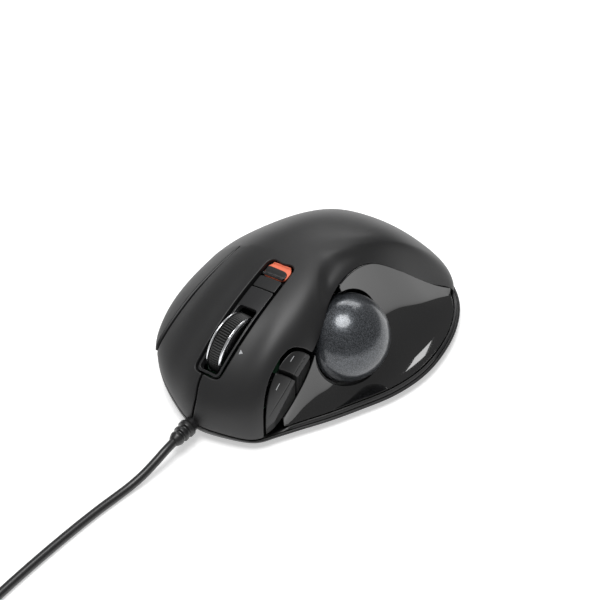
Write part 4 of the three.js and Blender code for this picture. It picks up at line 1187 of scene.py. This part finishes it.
def key_surface(flat):
    """Top of the side keys: a groove near the outer edge, then a steeper side face."""
    on = cover_point(flat)
    inside = -past_crease(on)
    line = 1.9 + 0.02 * (on[:, 1] - 26)
    side = 0.35 * np.clip(1 - inside / line, 0, 1) ** 1.5
    on[:, 2] -= KEY_DEPTH + 0.28 * bell(inside, line, 0.16) + side
    return on


def key_floor(y):
    return np.interp(y, [20, 41, 50, 56], [19, 10.6, 6.4, 4.8])


def key_lower(points, normals):
    low = points.copy()
    low[:, 2] = np.minimum(key_floor(points[:, 1]), points[:, 2] - 1.0)
    return low


def side_key_loop(is_rear):
    """Outline of the back key or the forward key, which share one gap in the cover."""
    (x0, y0), (x1, y1) = KEY_DIVIDE
    slope = (y1 - y0) / (x1 - x0)
    shift = -KEY_GAP if is_rear else KEY_GAP

    def on_key(points):
        divide = y0 + slope * (points[:, 0] - x0) + shift
        return plan(points[points[:, 1] < divide if is_rear else points[:, 1] > divide])

    inner = key_line - [SLIT / 2 + 0.2, 0]
    inner = inner[(inner[:, 1] > 24.4) & (inner[:, 1] < 51.2)]
    inner = inner[past_crease(inner) < -0.2]
    outer = ring_part(lambda a: crease_radius(a) - 0.12, math.radians(117), math.radians(140), 900)
    outer = outer[(outer[:, 1] > inner[0, 1]) & (outer[:, 1] < inner[-1, 1])]
    return whole_edge(np.vstack([on_key(inner), on_key(outer)]), 0.25, 0.3)


for name, is_rear, body, node in (("back_key", True, "back", "back_button"),
                                  ("forward_key", False, "forward", "forward_button")):
    shell_piece(name, key_surface, [side_key_loop(is_rear)], KEY_PLASTIC, body, "key_plastic", [node],
                radius=0.3, spacing=0.3, lower=key_lower)

# ---------- wheel strip ----------


def lowered(depth, extra=None):
    """Cover surface moved down by a depth, and by extra(x, y) where that is given."""
    def surface(flat):
        on = cover_point(flat)
        on[:, 2] -= depth
        if extra:
            on[:, 2] -= extra(on[:, 0], on[:, 1])
        return on
    return surface


def strip_loop(outline, hole=False, step=0.35, soft=0.1):
    flat = plan(resampled(outline, 0.2, closed=True))
    return whole_edge(flat[::-1] if hole else flat, step, soft)


STRIP_REAR = 16.9


def frame_outline():
    """Outline of the frame: round front corners, nearly square rear ones."""
    front = rounded_box(4.35, 14.45, STRIP_REAR, 51.15, 1.9)[8:24]
    return np.vstack([[(14.45, STRIP_REAR)], front, [(4.35, STRIP_REAR)]])


wheel_window = strip_loop(rounded_box(5.25, 13.55, 25.4, 50.35, 1.2), True)
shell_piece("wheel_frame", lowered(STRIP_DEPTH), [strip_loop(frame_outline()), wheel_window],
            STRIP_PLASTIC, "base", "strip_plastic", ["wheel_bezel"], radius=0.22, depth=2.2, spacing=0.6)
shell_piece("strip_bed", lowered(3.3), [strip_loop(rounded_box(4.3, 14.5, 4.9, 18.2, 1.6))],
            STRIP_PLASTIC, "base", "strip_plastic", radius=0.2, depth=0.8, spacing=1.0)
shell_piece("function_key_cap", lowered(STRIP_DEPTH),
            [strip_loop(rounded_box(4.45, 14.35, 11.5, 16.55, 0.35))], KEY_PLASTIC, "function_key",
            "key_plastic", ["function_key"], radius=0.25, depth=1.7, spacing=0.5)


def slider_outline():
    """Slider seen from above, its rear left corner rounded more than the others."""
    big = np.radians(np.linspace(180, 270, 14))
    small = np.radians(np.linspace(270, 360, 8))
    rear_left = np.stack([4.75 + 2.0 + 2.0 * np.cos(big), 6.9 + 2.0 + 2.0 * np.sin(big)], axis=1)
    rear_right = np.stack([14.2 - 0.7 + 0.7 * np.cos(small), 6.6 + 0.7 + 0.7 * np.sin(small)], axis=1)
    return np.vstack([rear_left, rear_right, [(14.2, 11.0), (4.6, 11.0)]])


def slider_ridge(x, y):
    return -0.8 * bell(y, 10.4, 0.4) + 0.25 * bell(y, 9.3, 0.5)


shell_piece("speed_slider_cap", lowered(STRIP_DEPTH, slider_ridge),
            [strip_loop(slider_outline(), step=0.3, soft=0.15)], KEY_PLASTIC, "speed_slider",
            "key_plastic", ["speed_slider"], radius=0.3, depth=0.55, spacing=0.3)


def marker_slope(x, y):
    """Behind the slider's way the marker is level with the strip; the rest lies under the slider."""
    return 0.78 * smoothstep(y, 4.85, 5.1)


shell_piece("speed_marker", lowered(STRIP_DEPTH - 0.1, marker_slope),
            [strip_loop(rounded_box(4.25, 14.5, 4.75, 10.8, 2.0))], ORANGE, "base", "orange_marker",
            ["speed_indicator"], radius=0.2, depth=0.7, spacing=0.3)

# ---------- wheel ----------


def ribbed_tyre():
    """Rubber band of the wheel with fine ribs across it."""
    ribs, per_rib = 72, 8
    half = 2.25
    across = [(-half, -0.30), (-half + 0.25, -0.05), (-1.2, 0.05), (0, 0.1), (1.2, 0.05),
              (half - 0.25, -0.05), (half, -0.30)]
    points = []
    count = ribs * per_rib
    for i in range(count):
        phase = (i % per_rib) / per_rib
        rib = 0.5 + 0.5 * math.cos(2 * math.pi * phase)
        depth = 0.6 * (1 - rib ** 0.45)
        angle = 2 * math.pi * i / count
        for x, lift in across:
            r = WHEEL_RADIUS - 0.25 + lift - depth * (1 if abs(x) < half - 0.1 else 0.3)
            points.append((x, r * math.cos(angle), r * math.sin(angle)))
        for x in (half, -half):
            points.append((x, 10.0 * math.cos(angle), 10.0 * math.sin(angle)))
    n = len(across) + 2
    faces = []
    for i in range(count):
        j = (i + 1) % count
        for k in range(n):
            m = (k + 1) % n
            faces.append([i * n + k, j * n + k, j * n + m, i * n + m])
    return solid_piece("wheel_tyre_ribbed", np.array(points) + WHEEL, faces, TYRE_RUBBER, "wheel",
                       ["wheel_tyre"], 60)


def wheel_side_ring(side, name, node):
    profile = [(10, 2.42), (WHEEL_RADIUS - 0.25, 2.42), (WHEEL_RADIUS, 2.62), (WHEEL_RADIUS - 0.02, 2.9),
               (WHEEL_RADIUS - 0.45, 3.3), (WHEEL_RADIUS - 1.0, 3.4), (10, 3.4), (10, 2.42)]
    profile = [(r, side * h) for r, h in profile]
    return turned(name, profile, CHROME, "wheel", [node], 128, "x", WHEEL, 0.15, 3)


def wheel_core():
    half = [(0, -5.8), (1.5, -5.8), (1.5, -3.0), (4.2, -2.6), (4.6, -3.1), (8.2, -2.9), (8.8, -2.3),
            (9.8, -2.2)]
    profile = half + [(radius, -x) for radius, x in reversed(half)]
    return turned("wheel_core", profile, SWITCH_PLASTIC, "wheel", ["wheel_hub"], 96,
                  "x", WHEEL)


ribbed_tyre()
wheel_side_ring(-1, "wheel_rim_left", "wheel_ring_left")
wheel_side_ring(1, "wheel_rim_right", "wheel_ring_right")
wheel_core()

# ---------- ball ----------


def ball():
    """Ball with fine even triangles."""
    bm = bmesh.new()
    bmesh.ops.create_icosphere(bm, subdivisions=6, radius=BALL_RADIUS * MM)
    mesh = bpy.data.meshes.new("ball")
    bmesh.ops.translate(bm, verts=bm.verts, vec=Vector(BALL) * MM)
    bm.to_mesh(mesh)
    bm.free()
    mesh.polygons.foreach_set("use_smooth", [True] * len(mesh.polygons))
    return object_of("ball", mesh, BALL_RESIN, "ball", ["track_ball"])


ball()

# ---------- tray ----------


def tray():
    """Lower shell: tucked wall, lip with a fine groove, floor with the ball hole and screw recesses."""
    count = 480
    angle = np.arange(count) / count * 2 * np.pi
    foot = foot_radius(angle)
    top = waist(angle)
    degree = np.degrees(angle)
    wing = smoothstep(degree, 116, 124) * (1 - smoothstep(degree, 220, 228))
    rows = []

    def ring(inset, height):
        radius = foot - inset
        rows.append(np.stack([HUB[0] + radius * np.cos(angle), HUB[1] + radius * np.sin(angle),
                              np.broadcast_to(height, radius.shape)], axis=1))

    low = DESK_CLEARANCE
    ring(TUCK + 0.6, low)
    ring(TUCK + 0.18, low + 0.12)
    ring(TUCK * 0.92, low + 0.45)
    for share in (0.3, 0.5, 0.7, 0.85):
        ring(TUCK * (1 - share) ** 2, low + (top - low) * share)
    ring(0.02, top - 0.5)
    ring(0.12, top - 0.2)
    ring(0.4, top - 0.02)
    ring(0.85, top + 0.05 * wing)
    ring(0.95, top - 0.35)
    ring(1.2, top - 0.35)
    lift = wing * np.clip(WING_RIM - top - 0.25, 0, 2)
    ring(1.3, top + 0.05 + lift * 0.4)
    ring(1.8, top + 0.05 + lift * 0.9)
    ring(2.25, top + lift)
    ring(2.4, top - 0.2 + lift)
    ring(2.45, top - 0.8 + lift * 0.5)
    ring(2.0, np.maximum(top - 1.4, FLOOR_TOP + 0.2))
    ring(5, FLOOR_TOP)
    outer_plan = rows[0][:, :2]
    points = list(np.vstack(rows))
    faces = ring_faces(len(rows), count)

    def circle(x, y, radius, n=48):
        a = -np.arange(n) / n * 2 * np.pi
        return np.stack([x + radius * np.cos(a), y + radius * np.sin(a)], axis=1)

    ball_ring = circle(BALL[0], BALL[1], 6, 72)
    recesses = [circle(x, y, 3.1) for x, y in CASE_SCREWS]

    def plane(loops, z, first_ring, flip):
        """Flat floor inside a ring that is there already; returns the new holes' first indices."""
        flat, tris = triangulated(loops, 4.0)
        offset = len(points)
        index = [*range(first_ring, first_ring + count), *range(offset, offset + len(flat) - count)]
        points.extend(np.hstack([flat[count:], np.full((len(flat) - count, 1), z)]))
        for f in tris:
            order = f[::-1] if flip else f
            faces.append([index[i] for i in order])
        return offset

    bottom = plane([outer_plan, ball_ring, *recesses], low, 0, True)
    last = (len(rows) - 1) * count
    top_first = plane([rows[-1][:, :2], ball_ring], FLOOR_TOP, last, False)
    n = len(ball_ring)
    for i in range(n):
        j = (i + 1) % n
        faces.append([bottom + i, bottom + j, top_first + j, top_first + i])
    start = bottom + n
    for loop in recesses:
        m = len(loop)
        cap = len(points)
        points.extend(np.hstack([loop, np.full((m, 1), 2.7)]))
        for i in range(m):
            j = (i + 1) % m
            faces.append([start + i, start + j, cap + j, cap + i])
        faces.append([cap + i for i in range(m)])
        start += m
    return solid_piece("tray_shell", np.array(points), faces, TRAY_PLASTIC, "base",
                       ["base_tray"], 38)


tray()
for i, (x, y, radius) in enumerate(FEET):
    profile = [(0, 0), (radius - 0.25, 0), (radius, 0.2), (radius, 0.75), (0, 0.85)]
    turned(f"foot_disc_{i + 1}", profile, PAD_PLASTIC, "base", [f"foot_pad_{i + 1}"], 64,
           "z", (x, y, 0), 0.12)


def screw_head(name, x, y, node):
    """Pan head seen from below; its cross recess is not cut but drawn as a thin black cross, painted
    shade for the dark inside of the recess.
    """
    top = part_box(node)[1].z / MM
    profile = [(0, 1.2), (2.3, 1.25), (2.7, 1.6), (2.7, 2.5), (1.25, 2.55), (1.25, top), (0, top)]
    turned(name, profile, STEEL, "base", [node], 40, "z", (x, y, 0), 0.15, 3)
    for k, (long_x, long_y) in enumerate(((1.5, 0.32), (0.32, 1.5))):
        arm = rounded_box(x - long_x, x + long_x, y - long_y, y + long_y, 0.2, 3)
        # painted shade: the thin black cross stands for the dark inside of the cross recess
        sheet_prism(f"{name}_cross_recess_shade_{k + 1}", arm, 1.17, 1.35, FLAT, CHIP_AND_SHADE_BLACK, (),
                    0.03, 1)


for i, (x, y) in enumerate(CASE_SCREWS):
    screw_head(f"screw_head_{i + 1}", x, y, f"case_screw_{i + 1}")

# ---------- printed marks ----------


def print_mark(name, outline, surface, body, lift=0.02):
    """Thin printed shape lying on a surface, from a convex plan outline."""
    flat = plan(resampled(outline, 0.12, closed=True))
    return shell_piece(name, lambda f: surface(f) + [0, 0, lift], [(flat, np.ones(len(flat)))], PRINT,
                       body, None, radius=0.01, depth=0.03, spacing=0.15)


def turned_outline(outline, x, y, degrees):
    a = math.radians(degrees)
    o = np.array(outline, float)
    return np.stack([x + o[:, 0] * math.cos(a) - o[:, 1] * math.sin(a),
                     y + o[:, 0] * math.sin(a) + o[:, 1] * math.cos(a)], axis=1)


TRIANGLE = [(0, 0.85), (-0.75, -0.55), (0.75, -0.55)]
DASH = [(-0.09, -1.1), (0.09, -1.1), (0.09, 1.1), (-0.09, 1.1)]
print_mark("wheel_mark", turned_outline(TRIANGLE, 1.5, 40.7, -144), cover_point, "left_click")
print_mark("back_mark", turned_outline(DASH, -14.6, 31.2, 0), key_surface, "back")
print_mark("forward_mark", turned_outline(DASH, -15.0, 40.6, 0), key_surface, "forward")

# ---------- floor and light ----------


def stage_floor():
    bm = bmesh.new()
    bmesh.ops.create_grid(bm, x_segments=1, y_segments=1, size=3)
    mesh = bpy.data.meshes.new("floor")
    bm.to_mesh(mesh)
    bm.free()
    mat = bpy.data.materials.new("floor")
    mat.use_nodes = True
    shader = mat.node_tree.nodes["Principled BSDF"]
    shader.inputs["Base Color"].default_value = (0.85, 0.85, 0.85, 1)
    shader.inputs["Roughness"].default_value = 0.9
    shader.inputs["Emission Color"].default_value = (1, 1, 1, 1)
    shader.inputs["Emission Strength"].default_value = 0.45
    mesh.materials.append(mat)
    placed("floor", mesh)


stage_floor()


def softbox(name, at, to, width, height, watts, shape="RECTANGLE"):
    data = bpy.data.lights.new(name, "AREA")
    data.shape = shape
    data.size, data.size_y = width, height
    data.energy = watts
    light = placed(name, data)
    light.visible_camera = False
    aimed(light, at, to)


softbox("key_box", (0.10, 0.10, 1.0), (-0.02, 0, 0.02), 0.6, 0.6, 8, "DISK")
softbox("back_box", (0.5, -0.9, 0.75), (0, 0, 0.02), 0.9, 0.35, 4)
softbox("rim_box", (0.018, -0.183, 0.246), (-0.042, -0.015, 0.006), 0.03, 0.022, 0.012)

world = bpy.data.worlds.new("world")
bpy.context.scene.world = world
world.use_nodes = True
world.node_tree.nodes["Background"].inputs["Color"].default_value = (1, 1, 1, 1)
world.node_tree.nodes["Background"].inputs["Strength"].default_value = 0.28
bpy.context.scene.view_settings.view_transform = "Standard"
